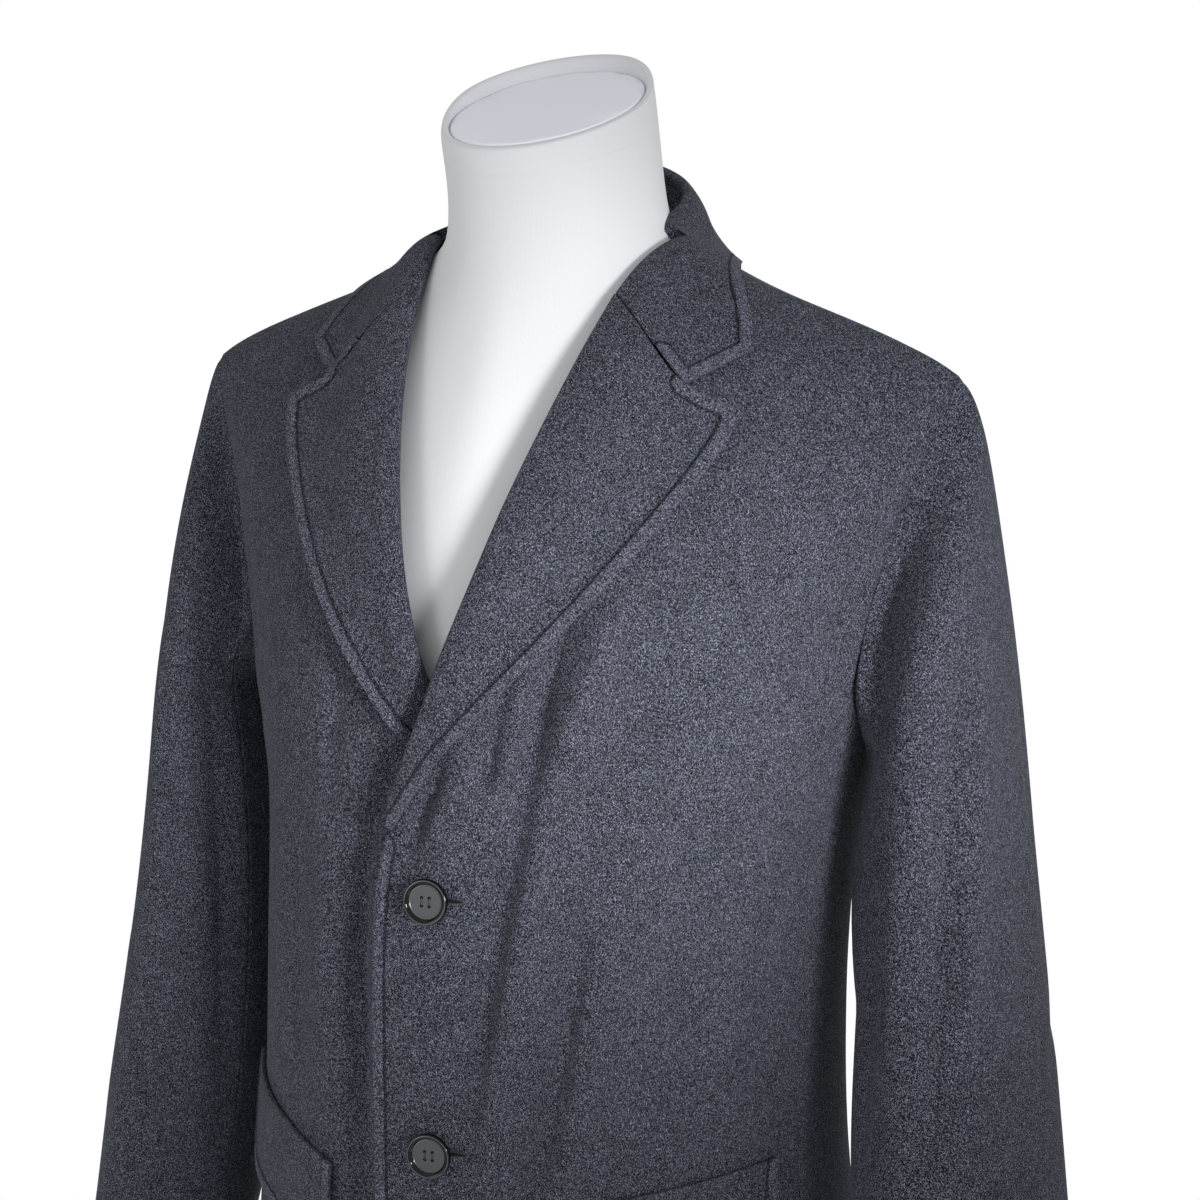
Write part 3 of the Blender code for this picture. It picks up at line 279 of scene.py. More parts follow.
# Milled wool flannel: blue-grey charcoal with short curly lighter fibres lying all ways, matte and fuzzy.
# Turned-in edges look a little lighter, a painted highlight on the raised welt, and the row of stitches lies
# in a groove darkened with painted shade.
STITCH_IN = 6.6 * MM
flannel = finish_of(
    "charcoal_melange_flannel", "5C5E68", 0.95, {"Specular IOR Level": 0.12, "Sheen Weight": 0.04}
)
place = add_node(flannel, "ShaderNodeTexCoord")
fuzz = None
for turn, width, length, start in FIBRES:
    laid = add_node(
        flannel,
        "ShaderNodeMapping",
        {
            "vector_type": "TEXTURE",
            "Location": start,
            "Rotation": [math.radians(angle) for angle in turn],
            "Scale": (width * MM, width * MM, length * MM),
        },
        [(place, "Object", "Vector")],
    )
    curl = add_node(
        flannel,
        "ShaderNodeTexNoise",
        {"Scale": 0.8, "Detail": 0.0, "Distortion": 0.7},
        [(laid, "Vector", "Vector")],
    )
    picked = add_node(
        flannel,
        "ShaderNodeMapRange",
        {"From Min": 0.6, "From Max": 0.8},
        [(curl, "Fac", "Value")],
    )
    if fuzz is None:
        fuzz, fuzz_output = picked, "Result"
    else:
        fuzz = add_node(
            flannel,
            "ShaderNodeMath",
            {"operation": "MAXIMUM"},
            [(fuzz, fuzz_output, 0), (picked, "Result", 1)],
        )
        fuzz_output = "Value"
patches = add_node(
    flannel, "ShaderNodeTexNoise", {"Scale": 160.0, "Detail": 2.0}, [(place, "Object", "Vector")]
)
wide_patches = add_node(
    flannel, "ShaderNodeTexNoise", {"Scale": 60.0, "Detail": 1.0}, [(place, "Object", "Vector")]
)
patchy = add_node(
    flannel,
    "ShaderNodeMath",
    {"operation": "ADD"},
    [(patches, "Fac", 0), (wide_patches, "Fac", 1)],
)
patchy_share = add_node(
    flannel,
    "ShaderNodeMapRange",
    {"From Min": 0.7, "From Max": 1.3, "To Min": -0.03, "To Max": 0.03},
    [(patchy, "Value", "Value")],
)
tone = add_node(
    flannel, "ShaderNodeMath", {"operation": "ADD"}, [(fuzz, "Value", 0), (patchy_share, "Result", 1)]
)
from_edge = add_node(flannel, "ShaderNodeAttribute", {"attribute_name": "from_edge"})
off_line = add_node(
    flannel,
    "ShaderNodeMath",
    {"operation": "SUBTRACT", 1: STITCH_IN},
    [(from_edge, "Fac", 0)],
)
off_line_size = add_node(flannel, "ShaderNodeMath", {"operation": "ABSOLUTE"}, [(off_line, "Value", 0)])
groove = add_node(
    flannel,
    "ShaderNodeMapRange",
    {"interpolation_type": "SMOOTHSTEP", "From Min": 0.1 * MM, "From Max": 1.1 * MM},
    [(off_line_size, "Value", "Value")],
)
# Painted shade: the flannel is darker along the row of stitches, standing for the shadow in its groove.
groove_painted_shade = add_node(
    flannel,
    "ShaderNodeMapRange",
    {"From Min": 0.0, "From Max": 1.0, "To Min": -0.3, "To Max": 0.0},
    [(groove, "Result", "Value")],
)
# Painted highlight: the flannel is lighter within about 5 mm of a turned edge, standing for light on the
# raised welt.
welt_painted_highlight = add_node(
    flannel,
    "ShaderNodeMapRange",
    {"From Min": 4.6 * MM, "From Max": 6.0 * MM, "To Min": 0.09, "To Max": 0.0},
    [(from_edge, "Fac", "Value")],
)
edge_painted_light = add_node(
    flannel,
    "ShaderNodeMath",
    {"operation": "ADD"},
    [(welt_painted_highlight, "Result", 0), (groove_painted_shade, "Result", 1)],
)
# The fibre tone together with the painted highlight and painted shade of the edges.
tone_with_painted_edge_light = add_node(
    flannel, "ShaderNodeMath", {"operation": "ADD"}, [(tone, "Value", 0), (edge_painted_light, "Value", 1)]
)
colour = add_node(flannel, "ShaderNodeValToRGB", (), [(tone_with_painted_edge_light, "Value", "Fac")])
colour.color_ramp.elements[0].color = linear("040407")
colour.color_ramp.elements[0].position = 0.0
colour.color_ramp.elements[1].color = linear("8E92A4")
colour.color_ramp.elements[1].position = 1.0
middle_stop = colour.color_ramp.elements.new(0.42)
middle_stop.color = linear("1C1F27")
fuzz_raised = add_node(
    flannel, "ShaderNodeBump", {"Strength": 0.5, "Distance": 0.16 * MM}, [(fuzz, "Value", "Height")]
)
groove_raised = add_node(
    flannel,
    "ShaderNodeBump",
    {"Strength": 1.0, "Distance": 0.6 * MM},
    [(groove, "Result", "Height"), (fuzz_raised, "Normal", "Normal")],
)
link_shader(flannel, colour, "Color", "Base Color")
link_shader(flannel, groove_raised, "Normal", "Normal")


def fold_amount(across, down, fold):
    """How far one fold moves each point of a chart: deepest along its line, with both ends fading."""
    rise_mm, low_mm, high_mm, sharp, line = fold
    best = np.full(len(across), 1e9)
    side = np.zeros(len(across))
    place_along = np.zeros(len(across))
    lengths = [math.dist(a, b) for a, b in zip(line, line[1:])]
    gone = 0.0
    for (x0, z0), (x1, z1), length in zip(line, line[1:], lengths):
        ux, uz = (x1 - x0) / length, (z1 - z0) / length
        t = np.clip((across - x0) * ux + (down - z0) * uz, 0.0, length)
        dx, dz = across - x0 - t * ux, down - z0 - t * uz
        apart = np.hypot(dx, dz)
        nearer = apart < best
        best = np.where(nearer, apart, best)
        side = np.where(nearer, dz * ux - dx * uz, side)
        place_along = np.where(nearer, (gone + t) / sum(lengths), place_along)
        gone += length
    width = np.where(side > 0, high_mm, low_mm) / 10
    ends = np.sin(math.pi * place_along) ** 0.6
    return rise_mm * MM * ends * np.exp(-((best / width) ** sharp))


def shaped(mesh, chart, outward, folds):
    """Moves both sides of a cloth wall together, outward or inward, by its folds."""
    spots = points_of(mesh)
    across, down = chart(spots)
    moved = sum(fold_amount(across, down, fold) for fold in folds)
    spots = spots + outward(spots) * moved[:, None]
    mesh.vertices.foreach_set("co", spots.ravel())
    mesh.update()


def body_chart(spots):
    """Places on the body's panels, in centimetres: across, and up from the floor."""
    return spots[:, 0] / CM, spots[:, 2] / CM


def body_out(spots):
    """Level directions away from the middle of the body."""
    way = spots * (0.6, 1.0, 0.0)
    return way / np.linalg.norm(way, axis=1)[:, None]


BACK_CREASES = {
    "left": (
        # rise in mm, width to the low side and to the high side in mm, sharpness, line in cm
        (-3.0, 15, 11, 1.6, ((8.4, 131.0), (7.6, 122.0), (7.0, 112.0), (7.3, 100.0))),
        (-2.2, 10, 12, 1.5, ((13.6, 126.0), (12.6, 118.0), (12.4, 108.0))),
        (1.8, 14, 14, 2.0, ((10.4, 128.0), (9.8, 118.0), (9.6, 106.0))),
        (-2.6, 8, 10, 1.4, ((18.0, 130.0), (16.4, 124.5), (15.6, 118.5))),
        (-1.4, 10, 10, 1.8, ((1.8, 136.0), (2.6, 126.0), (2.2, 117.0))),
        (-3.2, 16, 14, 1.7, ((5.0, 92.0), (6.0, 74.0), (6.6, 52.0))),
    ),
    "right": (
        (-2.6, 12, 14, 1.6, ((-7.8, 129.0), (-7.4, 119.0), (-6.2, 108.0), (-6.6, 97.0))),
        (-2.0, 12, 9, 1.5, ((-12.8, 124.0), (-12.9, 115.0), (-12.0, 105.0))),
        (1.6, 14, 14, 2.0, ((-10.0, 125.0), (-9.6, 114.0), (-9.2, 104.0))),
        (-2.8, 9, 8, 1.4, ((-18.2, 128.6), (-16.9, 123.0), (-16.4, 117.0))),
        (-1.2, 9, 10, 1.8, ((-2.4, 133.0), (-1.9, 125.0), (-2.8, 118.0))),
        (-3.0, 14, 16, 1.7, ((-6.4, 90.0), (-6.8, 72.0), (-7.8, 51.0))),
    ),
}
panels = []
for side, creases in BACK_CREASES.items():
    mesh = soft_copy(f"{side}_back", 2, 0.6)
    shaped(mesh, body_chart, body_out, creases)
    keep_value(mesh, "from_edge", np.full(len(mesh.vertices), FAR))
    panels.append(mesh)
    panel = show(f"{side}_back_cloth", mesh, flannel, [f"{side}_back"])

# Fronts. Two panels of the same flannel, the left one lapped over the right one and buttoned to it.
# The leading edge is turned in and topstitched, and long creases run down from below the lapel.
# Beside most hollows stands a ridge, where the cloth is pushed up.
FRONT_CREASES = {
    "left": (
        (-7.0, 7, 8, 1.5, ((7.6, 129.6), (6.6, 126.6), (6.1, 124.0), (5.7, 121.0))),
        (6.5, 8, 15, 2.0, ((9.4, 129.0), (8.4, 126.0), (7.6, 122.5), (7.1, 119.5))),
        (
            -5.6,
            8,
            6,
            1.5,
            (
                (6.2, 126.6),
                (5.77, 122.3),
                (5.2, 118.7),
                (4.67, 115.0),
                (4.1, 111.3),
                (3.64, 108.0),
                (3.0, 103.7),
                (2.5, 96.0),
            ),
        ),
        (
            5.8,
            6,
            17,
            2.0,
            ((7.2, 125.6), (6.6, 120.0), (6.0, 116.0), (5.3, 111.5), (4.7, 107.5), (4.1, 102.5), (3.7, 97.0)),
        ),
        (
            -7.5,
            9,
            7,
            1.4,
            ((8.5, 114.4), (8.2, 110.9), (7.5, 106.0), (6.9, 102.9), (6.2, 98.8), (5.6, 92.0)),
        ),
        (6.0, 7, 16, 2.0, ((9.5, 113.4), (8.8, 107.5), (8.3, 103.6), (7.5, 99.0), (6.8, 94.0))),
        (-6.5, 5, 5, 1.5, ((1.0, 121.1), (0.7, 120.0), (0.15, 118.7), (-0.35, 117.3), (-0.8, 115.6))),
        (2.8, 5, 9, 2.0, ((1.8, 120.2), (1.1, 118.2), (0.3, 116.2))),
        (-6.0, 6, 5, 1.5, ((5.0, 127.0), (4.05, 123.6), (3.7, 121.5), (3.3, 119.0))),
        (4.2, 5, 6, 2.0, ((5.0, 123.4), (4.6, 121.4), (4.1, 118.5))),
        (
            -3.6,
            11,
            12,
            1.7,
            ((12.8, 121.0), (13.1, 115.1), (13.07, 111.3), (12.67, 107.0), (12.0, 101.0)),
        ),
        (-1.6, 9, 9, 1.8, ((10.6, 126.8), (11.3, 124.0), (11.9, 121.0))),
        (-1.4, 9, 9, 1.8, ((15.3, 138.0), (16.2, 136.2), (17.1, 133.8))),
        (-3.0, 10, 7, 1.6, ((19.2, 131.0), (18.7, 127.5), (18.3, 124.0))),
        (-3.4, 15, 15, 1.8, ((9.0, 88.0), (10.2, 70.0), (10.6, 50.0))),
    ),
    "right": (
        (-3.4, 6, 7, 1.4, ((-6.3, 125.2), (-6.55, 123.6), (-6.95, 120.5), (-7.0, 118.6))),
        (-3.0, 13, 14, 1.8, ((-9.6, 120.0), (-10.2, 110.0), (-10.0, 98.0))),
        (2.4, 12, 12, 2.0, ((-6.8, 117.0), (-7.2, 108.0), (-7.0, 99.0))),
        (-2.0, 9, 9, 1.6, ((-18.2, 131.0), (-17.0, 126.0), (-16.2, 119.0))),
        (-1.3, 8, 9, 1.6, ((-4.6, 113.6), (-5.4, 108.2), (-5.6, 103.0))),
        (-2.6, 15, 15, 1.8, ((-7.0, 88.0), (-7.8, 70.0), (-8.4, 50.0))),
        (
            -6.5,
            10,
            7,
            1.5,
            (
                (-0.9, 123.0),
                (-2.6, 120.1),
                (-3.5, 117.8),
                (-4.2, 115.8),
                (-4.7, 114.0),
                (-4.9, 109.6),
                (-4.7, 104.0),
                (-4.4, 94.0),
            ),
        ),
    ),
}
SEWN_TO_Z = 116.9 * CM
SEWN_WITHIN = 4.5 * CM
# How high the turned-in cloth stands, where its fall begins and ends, and how far in an edge curls.
WELT = 0.9 * MM
WELT_END = (5.0 * MM, 8.0 * MM)
CURL_REACH = 18.0 * MM
# Heights in cm over which a front's turned edge grows from nothing, below the foot of the lapel.
FRONT_FADE = (117.2, 114.8)


def front_sewn(middle, along):
    """Whether a stretch of a front's rim is its leading edge, which is topstitched below the lapel."""
    return abs(middle.x) < SEWN_WITHIN and middle.z < SEWN_TO_Z and abs(along.z) > 0.8 * along.length


def raise_edge(mesh, outward, curl, fade=None):
    """Lifts the turned-in cloth along a sewn edge and curls the edge out.

    Between the two heights of fade, in cm, both grow from nothing to their full size.
    Each point keeps its distance from the edge, which the flannel reads.
    """
    marked = [edge for edge in mesh.edges if edge.use_seam]
    tree = KDTree(len(marked) * 3)
    for k, edge in enumerate(marked):
        a, b = (mesh.vertices[v].co for v in edge.vertices)
        for j, share in enumerate((0.0, 0.33, 0.67)):
            tree.insert(a.lerp(b, share), 3 * k + j)
    tree.balance()
    spots = points_of(mesh)
    apart = np.array([tree.find(spot)[2] for spot in spots])
    near, far = WELT_END
    fall = np.clip((apart - near) / (far - near), 0.0, 1.0)
    lift = WELT * (1.0 - fall * fall * (3.0 - 2.0 * fall))
    lift = lift + curl * np.clip(1.0 - apart / CURL_REACH, 0.0, 1.0) ** 2
    if fade:
        lift = lift * np.clip((spots[:, 2] / CM - fade[0]) / (fade[1] - fade[0]), 0.0, 1.0)
    spots = spots + outward(spots) * lift[:, None]
    mesh.vertices.foreach_set("co", spots.ravel())
    mesh.update()
    keep_value(mesh, "from_edge", apart)


sewn_meshes = {}
for side, creases in FRONT_CREASES.items():
    mesh = soft_copy(f"{side}_front", 3, 0.6, front_sewn)
    shaped(mesh, body_chart, body_out, creases)
    raise_edge(mesh, body_out, 1.6 * MM if side == "left" else 0.0, FRONT_FADE)
    sewn_meshes[f"{side}_front"] = mesh
    panels.append(mesh)
    panel = show(f"{side}_front_cloth", mesh, flannel, [f"{side}_front"])

# Sleeves. Each is an upper and an under piece of flannel, seamed along the arm.
# The cap is eased into the armhole, so its rim lies close against the edge of the body's panels.
# They hang empty, so long soft folds run down from the cap and short ones cross at the elbow.
SLEEVE_AXIS = (
    # height, across, forward and back, in cm
    (78.0, 28.1, -3.3),
    (84.0, 27.15, -2.8),
    (95.2, 25.4, -1.6),
    (106.5, 24.25, -0.3),
    (117.3, 23.4, 0.4),
    (127.5, 22.8, 0.5),
    (140.0, 22.5, 0.4),
)
SLEEVE_CREASES = {
    "left": (
        (
            -6.5,
            10,
            9,
            1.5,
            (
                (3.0, 128.5),
                (2.2, 122.0),
                (1.6, 116.7),
                (1.3, 112.0),
                (0.9, 107.0),
                (0.2, 100.3),
                (-0.4, 92.0),
            ),
        ),
        (4.2, 8, 11, 2.0, ((4.8, 127.0), (4.0, 119.5), (3.2, 114.0), (2.7, 108.0))),
        (2.6, 10, 9, 2.0, ((-0.1, 121.0), (-1.1, 114.0), (-1.6, 107.5), (-1.6, 101.0))),
        (-2.4, 9, 8, 1.5, ((-3.0, 112.5), (-3.6, 106.5), (-4.4, 101.0), (-4.6, 95.0))),
        (-2.2, 8, 9, 1.5, ((8.2, 116.0), (7.2, 110.0), (5.4, 105.0))),
        (-2.6, 12, 10, 1.6, ((11.5, 126.0), (12.4, 116.0), (12.0, 106.0))),
        (-2.2, 8, 8, 1.5, ((16.0, 108.5), (13.0, 106.0), (10.0, 104.5))),
        (-1.8, 8, 9, 1.5, ((6.6, 94.0), (4.2, 89.0), (2.6, 85.0))),
        (7.5, 22, 22, 2.0, ((-7.6, 124.5), (-7.6, 119.0), (-7.6, 113.0), (-7.6, 107.5))),
    ),
    "right": (
        (
            -5.2,
            10,
            11,
            1.5,
            (
                (2.2, 133.0),
                (1.2, 130.0),
                (-0.8, 125.5),
                (-1.7, 120.0),
                (-2.6, 113.7),
                (-3.6, 107.5),
                (-4.4, 101.0),
                (-5.4, 94.5),
            ),
        ),
        (1.6, 10, 10, 2.0, ((2.6, 124.0), (1.4, 116.0), (0.2, 108.0))),
        (1.6, 8, 9, 2.0, ((-3.6, 121.0), (-4.6, 114.0), (-5.8, 106.0))),
        (-2.0, 10, 10, 1.6, ((5.8, 122.0), (4.6, 112.0), (4.2, 104.0))),
        (-2.4, 10, 12, 1.6, ((12.2, 124.0), (11.8, 113.0), (12.8, 104.0))),
        (-2.0, 8, 8, 1.5, ((15.5, 111.0), (12.5, 109.0), (9.0, 108.5))),
        (-1.8, 9, 8, 1.5, ((1.6, 98.0), (3.6, 92.0), (4.0, 86.0))),
    ),
}


# Mean radius of a sleeve in cm, which turns an angle round it into a length.
SLEEVE_RADIUS = 6.0
# Within this distance of an armhole edge a sleeve is drawn over, by at most this share of the gap.
SEAM_REACH = 7.0 * MM
SEAM_SHARE = 0.8


def sleeve_offset(spots, sign):
    """How far points are outside and behind the line down the middle of a sleeve."""
    heights, x, y = (np.array(column) * CM for column in zip(*SLEEVE_AXIS))
    ahead = spots[:, 1] - np.interp(spots[:, 2], heights, y)
    away = spots[:, 0] * sign - np.interp(spots[:, 2], heights, x)
    return away, ahead


def sleeve_chart(sign):
    """Places round a sleeve, in centimetres: from its front towards the outside, and up from the floor."""

    def chart(spots):
        away, ahead = sleeve_offset(spots, sign)
        return np.arctan2(away, -ahead) * SLEEVE_RADIUS, spots[:, 2] / CM

    return chart


def sleeve_out(sign):
    """Level directions away from the middle of a sleeve."""

    def outward(spots):
        away, ahead = sleeve_offset(spots, sign)
        way = np.stack((away * sign, ahead, np.zeros(len(away))), axis=1)
        return way / np.linalg.norm(way, axis=1)[:, None]

    return outward


def eased_in(mesh, armhole):
    """Draws the rim of a sleeve over to the armhole edge that it is sewn to."""
    spots = points_of(mesh)
    for k, spot in enumerate(spots):
        edge, _, gap = armhole.find(spot)
        if gap < SEAM_REACH:
            share = SEAM_SHARE * (1.0 - (gap / SEAM_REACH) ** 2) ** 2
            spots[k] = spot + (np.array(edge) - spot) * share
    mesh.vertices.foreach_set("co", spots.ravel())
    mesh.update()


panel_points = np.concatenate([points_of(mesh) for mesh in panels])
armhole = KDTree(len(panel_points))
for k, spot in enumerate(panel_points):
    armhole.insert(spot, k)
armhole.balance()

for side, creases in SLEEVE_CREASES.items():
    sign = 1 if side == "left" else -1
    for part in ("upper", "under"):
        mesh = soft_copy(f"{side}_{part}_sleeve", 3, 0.6)
        shaped(mesh, sleeve_chart(sign), sleeve_out(sign), creases)
        eased_in(mesh, armhole)
        keep_value(mesh, "from_edge", np.full(len(mesh.vertices), FAR))
        sleeve = show(f"{side}_{part}_sleeve_cloth", mesh, flannel, [f"{side}_{part}_sleeve"])

# Lapels. Each is the front's facing, rolled out along a soft fold and pressed flat on the chest.
# The outer edge is turned in and topstitched from the fold's foot up over the point to the notch.
LAPEL_CREASES = {
    "left": ((-0.9, 12, 12, 2.0, ((6.0, 139.0), (5.2, 134.5), (4.0, 130.0))),),
    "right": (
        (-2.2, 10, 11, 1.8, ((-6.6, 140.0), (-5.4, 134.5), (-3.7, 129.0), (-2.6, 125.0))),
        (-8.5, 8, 11, 1.6, ((1.4, 127.4), (0.5, 124.6), (-0.6, 122.4), (-2.2, 119.4))),
    ),
}
# In cm: where the seam with the collar ends, its height, and the height where the roll line starts.
GORGE_END = {"left": 10.6, "right": 10.4}
GORGE_Z = 138.2
BREAK_Z = 116.4
# Across, in cm, where the roll line starts and how fast it moves out with height.
ROLL_START, ROLL_SLOPE = -2.3, 0.29
# In cm: the free edge lies at least this far outside the roll line, growing from nothing at the break.
FREE_OUTSIDE, FREE_SLOPE = 2.2, 0.22
LAPEL_FADE = (116.0, 121.0)
# Shorter stretches of a rim, across the wall, are never sewn.
SHORTEST_SEWN = 4 * MM


def lapel_sewn(side):
    """Whether a stretch of a lapel's rim is its free outer edge or the free part of its top edge."""

    def sewn(middle, along):
        across, height = middle.x * (1 if side == "left" else -1) / CM, middle.z / CM
        above_break = height - BREAK_Z
        outside = min(FREE_OUTSIDE, above_break * FREE_SLOPE)
        outer = across > ROLL_START + above_break * ROLL_SLOPE + outside
        return along.length > SHORTEST_SEWN and outer and (height < GORGE_Z or across > GORGE_END[side])

    return sewn


for side, creases in LAPEL_CREASES.items():
    mesh = soft_copy(f"{side}_lapel", 3, 0.6, lapel_sewn(side))
    shaped(mesh, body_chart, body_out, creases)
    raise_edge(mesh, body_out, 3.0 * MM, LAPEL_FADE)
    sewn_meshes[f"{side}_lapel"] = mesh
    lapel = show(f"{side}_lapel_cloth", mesh, flannel, [f"{side}_lapel"])

# Collar. A stand round the neck and a fall that folds over it and lies on the shoulders and the lapels.
# The fall's outer edge and its two ends are turned in and topstitched.
FALL_FADE = (146.0, 142.5)
# In cm: only lower than this is the rim sewn, behind the shoulders or out beside the notch.
FALL_SEWN_Z, FALL_SEWN_BEHIND, FALL_END = 147.2, 4.0, 9.4
COLLAR_CENTRE = (0.0, 0.0, 1.36)


def fall_sewn(middle, along):
    """Whether a stretch of the fall's rim is its outer edge or one of its free ends beside the notch."""
    across, height = abs(middle.x) / CM, middle.z / CM
    outer = height < FALL_SEWN_Z and (middle.y > FALL_SEWN_BEHIND * CM or across > FALL_END)
    return along.length > SHORTEST_SEWN and outer


def collar_out(spots):
    """Directions away from the neck, up over the shoulders."""
    way = spots - COLLAR_CENTRE
    return way / np.linalg.norm(way, axis=1)[:, None]


# The stretch of the roll that leans in: its middle, how far the lean reaches, and how far each way it goes.
LEAN_MIDDLE = (0.069, 0.014, 1.486)
LEAN_REACH = 0.026
LEAN_WAY = (-0.0045, -0.0024, 0.0)


def lean_in(mesh):
    """Lets the roll of the collar lean against the neck at the wearer's left."""
    spots = points_of(mesh)
    share = np.exp(-(np.linalg.norm(spots - LEAN_MIDDLE, axis=1) / LEAN_REACH) ** 2)
    mesh.vertices.foreach_set("co", (spots + share[:, None] * LEAN_WAY).ravel())
    mesh.update()


mesh = soft_copy("collar_fall", 3, 0.6, fall_sewn)
lean_in(mesh)
raise_edge(mesh, collar_out, 0.6 * MM, FALL_FADE)
sewn_meshes["collar_fall"] = mesh
fall = show("collar_fall_cloth", mesh, flannel, ["collar_fall"])
mesh = soft_copy("collar_stand", 2, 0.6)
lean_in(mesh)
keep_value(mesh, "from_edge", np.full(len(mesh.vertices), FAR))
stand = show("collar_stand_cloth", mesh, flannel, ["collar_stand"])

# Pocket flaps. Each is a lined flap of flannel with rounded lower corners, sewn into the pocket's slit.
# It hangs free of the front below its top edge, and its sides and foot are topstitched.
# In cm: the top edge's height at its inner end, the place of that end, and the edge's slope.
# The row of stitches starts the last one below it.
FLAP_TOP, FLAP_INNER, FLAP_SLOPE, FLAP_SEAM = 97.2, 6.6, 0.183, 0.5


def flap_sewn(middle, along):
    """Whether a stretch of a flap's rim is at its sides or its foot."""
    across, height = abs(middle.x) / CM, middle.z / CM
    top = FLAP_TOP + (across - FLAP_INNER) * FLAP_SLOPE
    return along.length > SHORTEST_SEWN and height < top - FLAP_SEAM


for side in ("left", "right"):
    mesh = soft_copy(f"{side}_pocket_flap", 3, 0.6, flap_sewn)
    raise_edge(mesh, body_out, 0.5 * MM)
    sewn_meshes[f"{side}_flap"] = mesh
    flap = show(f"{side}_pocket_flap_cloth", mesh, flannel, [f"{side}_pocket_flap"])

# Edge stitches. One row of lockstitch in dark thread runs beside each turned edge, sunk in the flannel.
# Each stitch is about 3 mm long, and only the thread between two needle holes shows.
STITCH_PITCH = 3.6 * MM
STITCH_LENGTH = 2.7 * MM
THREAD_WIDTH = 0.42 * MM
# How far out of the cloth the search for its surface starts and how far it goes.
START_OUT, SEARCH = 12 * MM, 30 * MM
# A short rim line this far inside the outermost one is left without stitches.
RIMS_APART = 8 * MM

# Mercerised sewing thread: dark grey, with a faint shine along it.
dark_thread = finish_of("dark_sewing_thread", "2E2F36", 0.6)


def sewn_lines(mesh):
    """The marked edges of a mesh, joined into lines of points."""
    beside = {}
    for edge in mesh.edges:
        if edge.use_seam:
            a, b = edge.vertices
            beside.setdefault(a, []).append(b)
            beside.setdefault(b, []).append(a)
    lines, seen = [], set()
    for start in sorted(beside, key=lambda v: (len(beside[v]) != 1, v)):
        if start in seen:
            continue
        line, here = [start], start
        seen.add(start)
        while True:
            ahead = [v for v in beside[here] if v not in seen]
            if not ahead:
                break
            here = ahead[0]
            seen.add(here)
            line.append(here)
        if len(line) > 3:
            lines.append([mesh.vertices[v].co.copy() for v in line])
    return lines


def stitches(name, mesh, outward):
    """A row of stitches beside the sewn edge, on the side of the cloth that faces out."""
    lines = sewn_lines(mesh)
    reach = [float(np.mean([p.dot(Vector(outward(np.array([p]))[0])) for p in line])) for line in lines]
    skin = BVHTree.FromPolygons(
        [vert.co for vert in mesh.vertices], [face.vertices for face in mesh.polygons]
    )
    centre = Vector(points_of(mesh).mean(axis=0))
    shape = bmesh.new()
    for line, far in zip(lines, reach):
        # Each wall has a rim on both faces. Only the outer one counts, and no short scraps.
        if far < max(reach) - RIMS_APART and len(line) * 2 < max(len(other) for other in lines):
            continue
        if any(other > far and len(found) > len(line) / 2 for found, other in zip(lines, reach)):
            continue
        gone, wanted = 0.0, STITCH_PITCH
        for a, b in zip(line, line[1:]):
            step = b - a
            while gone + step.length >= wanted:
                spot = a + step * ((wanted - gone) / step.length)
                along = step.normalized()
                out = Vector(outward(np.array([spot]))[0])
                inward = out.cross(along).normalized()
                if inward.dot(centre - spot) < 0:
                    inward = -inward
                found = skin.ray_cast(spot + inward * STITCH_IN + out * START_OUT, -out, SEARCH)
                if found[0] is not None and found[1].dot(out) > 0.2:
                    across = found[1].cross(along).normalized()
                    turn = Matrix((across, across.cross(found[1]), found[1])).transposed().to_4x4()
                    size = Matrix.Diagonal((THREAD_WIDTH, STITCH_LENGTH, THREAD_WIDTH, 2.0)) * 0.5
                    bmesh.ops.create_uvsphere(
                        shape,
                        u_segments=6,
                        v_segments=5,
                        radius=1.0,
                        matrix=Matrix.Translation(found[0]) @ turn @ size,
                    )
                wanted += STITCH_PITCH
            gone += step.length
    show(name, mesh_of(shape, name), dark_thread)


for key, mesh in sewn_meshes.items():
    stitches(f"{key}_edge_stitches", mesh, collar_out if key == "collar_fall" else body_out)

# Buttonholes. Each is a slit worked round with close stitches of dark thread, level with its button.
# The button covers most of it, and its inner end shows beside the rim.
HOLE_LENGTH = 24 * MM
HOLE_WIDTH = 3.6 * MM
# The middle of a buttonhole is this far from the middle of its button, towards the wearer's left.
HOLE_IN = 7.8 * MM
BUTTON_NODES = ("button_1", "button_2", "button_3")

# Dark slit between the worked edges: a near-black piece of painted shade, standing for the shadow inside the
# cut.
slit_painted_shade = finish_of("shade_in_buttonhole", "08080A", 1.0)
front_skin = BVHTree.FromPolygons(
    [vert.co for vert in sewn_meshes["left_front"].vertices],
    [face.vertices for face in sewn_meshes["left_front"].polygons],
)


def button_frame(node):
    """Where a button's underside is, and its own axes: across, up and out of the cloth."""
    spots = points_of(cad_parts[node].data)
    spots = np.unique(spots.round(6), axis=0)
    middle = spots.mean(axis=0)
    out = Vector(np.linalg.svd(spots - middle)[2][2])
    out = out if out.y < 0 else -out
    across = Vector((0, 0, 1)).cross(out).normalized()
    heights = (spots - middle) @ np.array(out)
    flat = (spots - middle) - np.outer(heights, np.array(out))
    rim = flat[np.linalg.norm(flat, axis=1) > 11 * MM]
    centre = Vector(middle + (rim.max(axis=0) + rim.min(axis=0)) / 2 + np.array(out) * heights.min())
    turn = Matrix((across, out.cross(across), out)).transposed().to_4x4()
    return Matrix.Translation(centre) @ turn


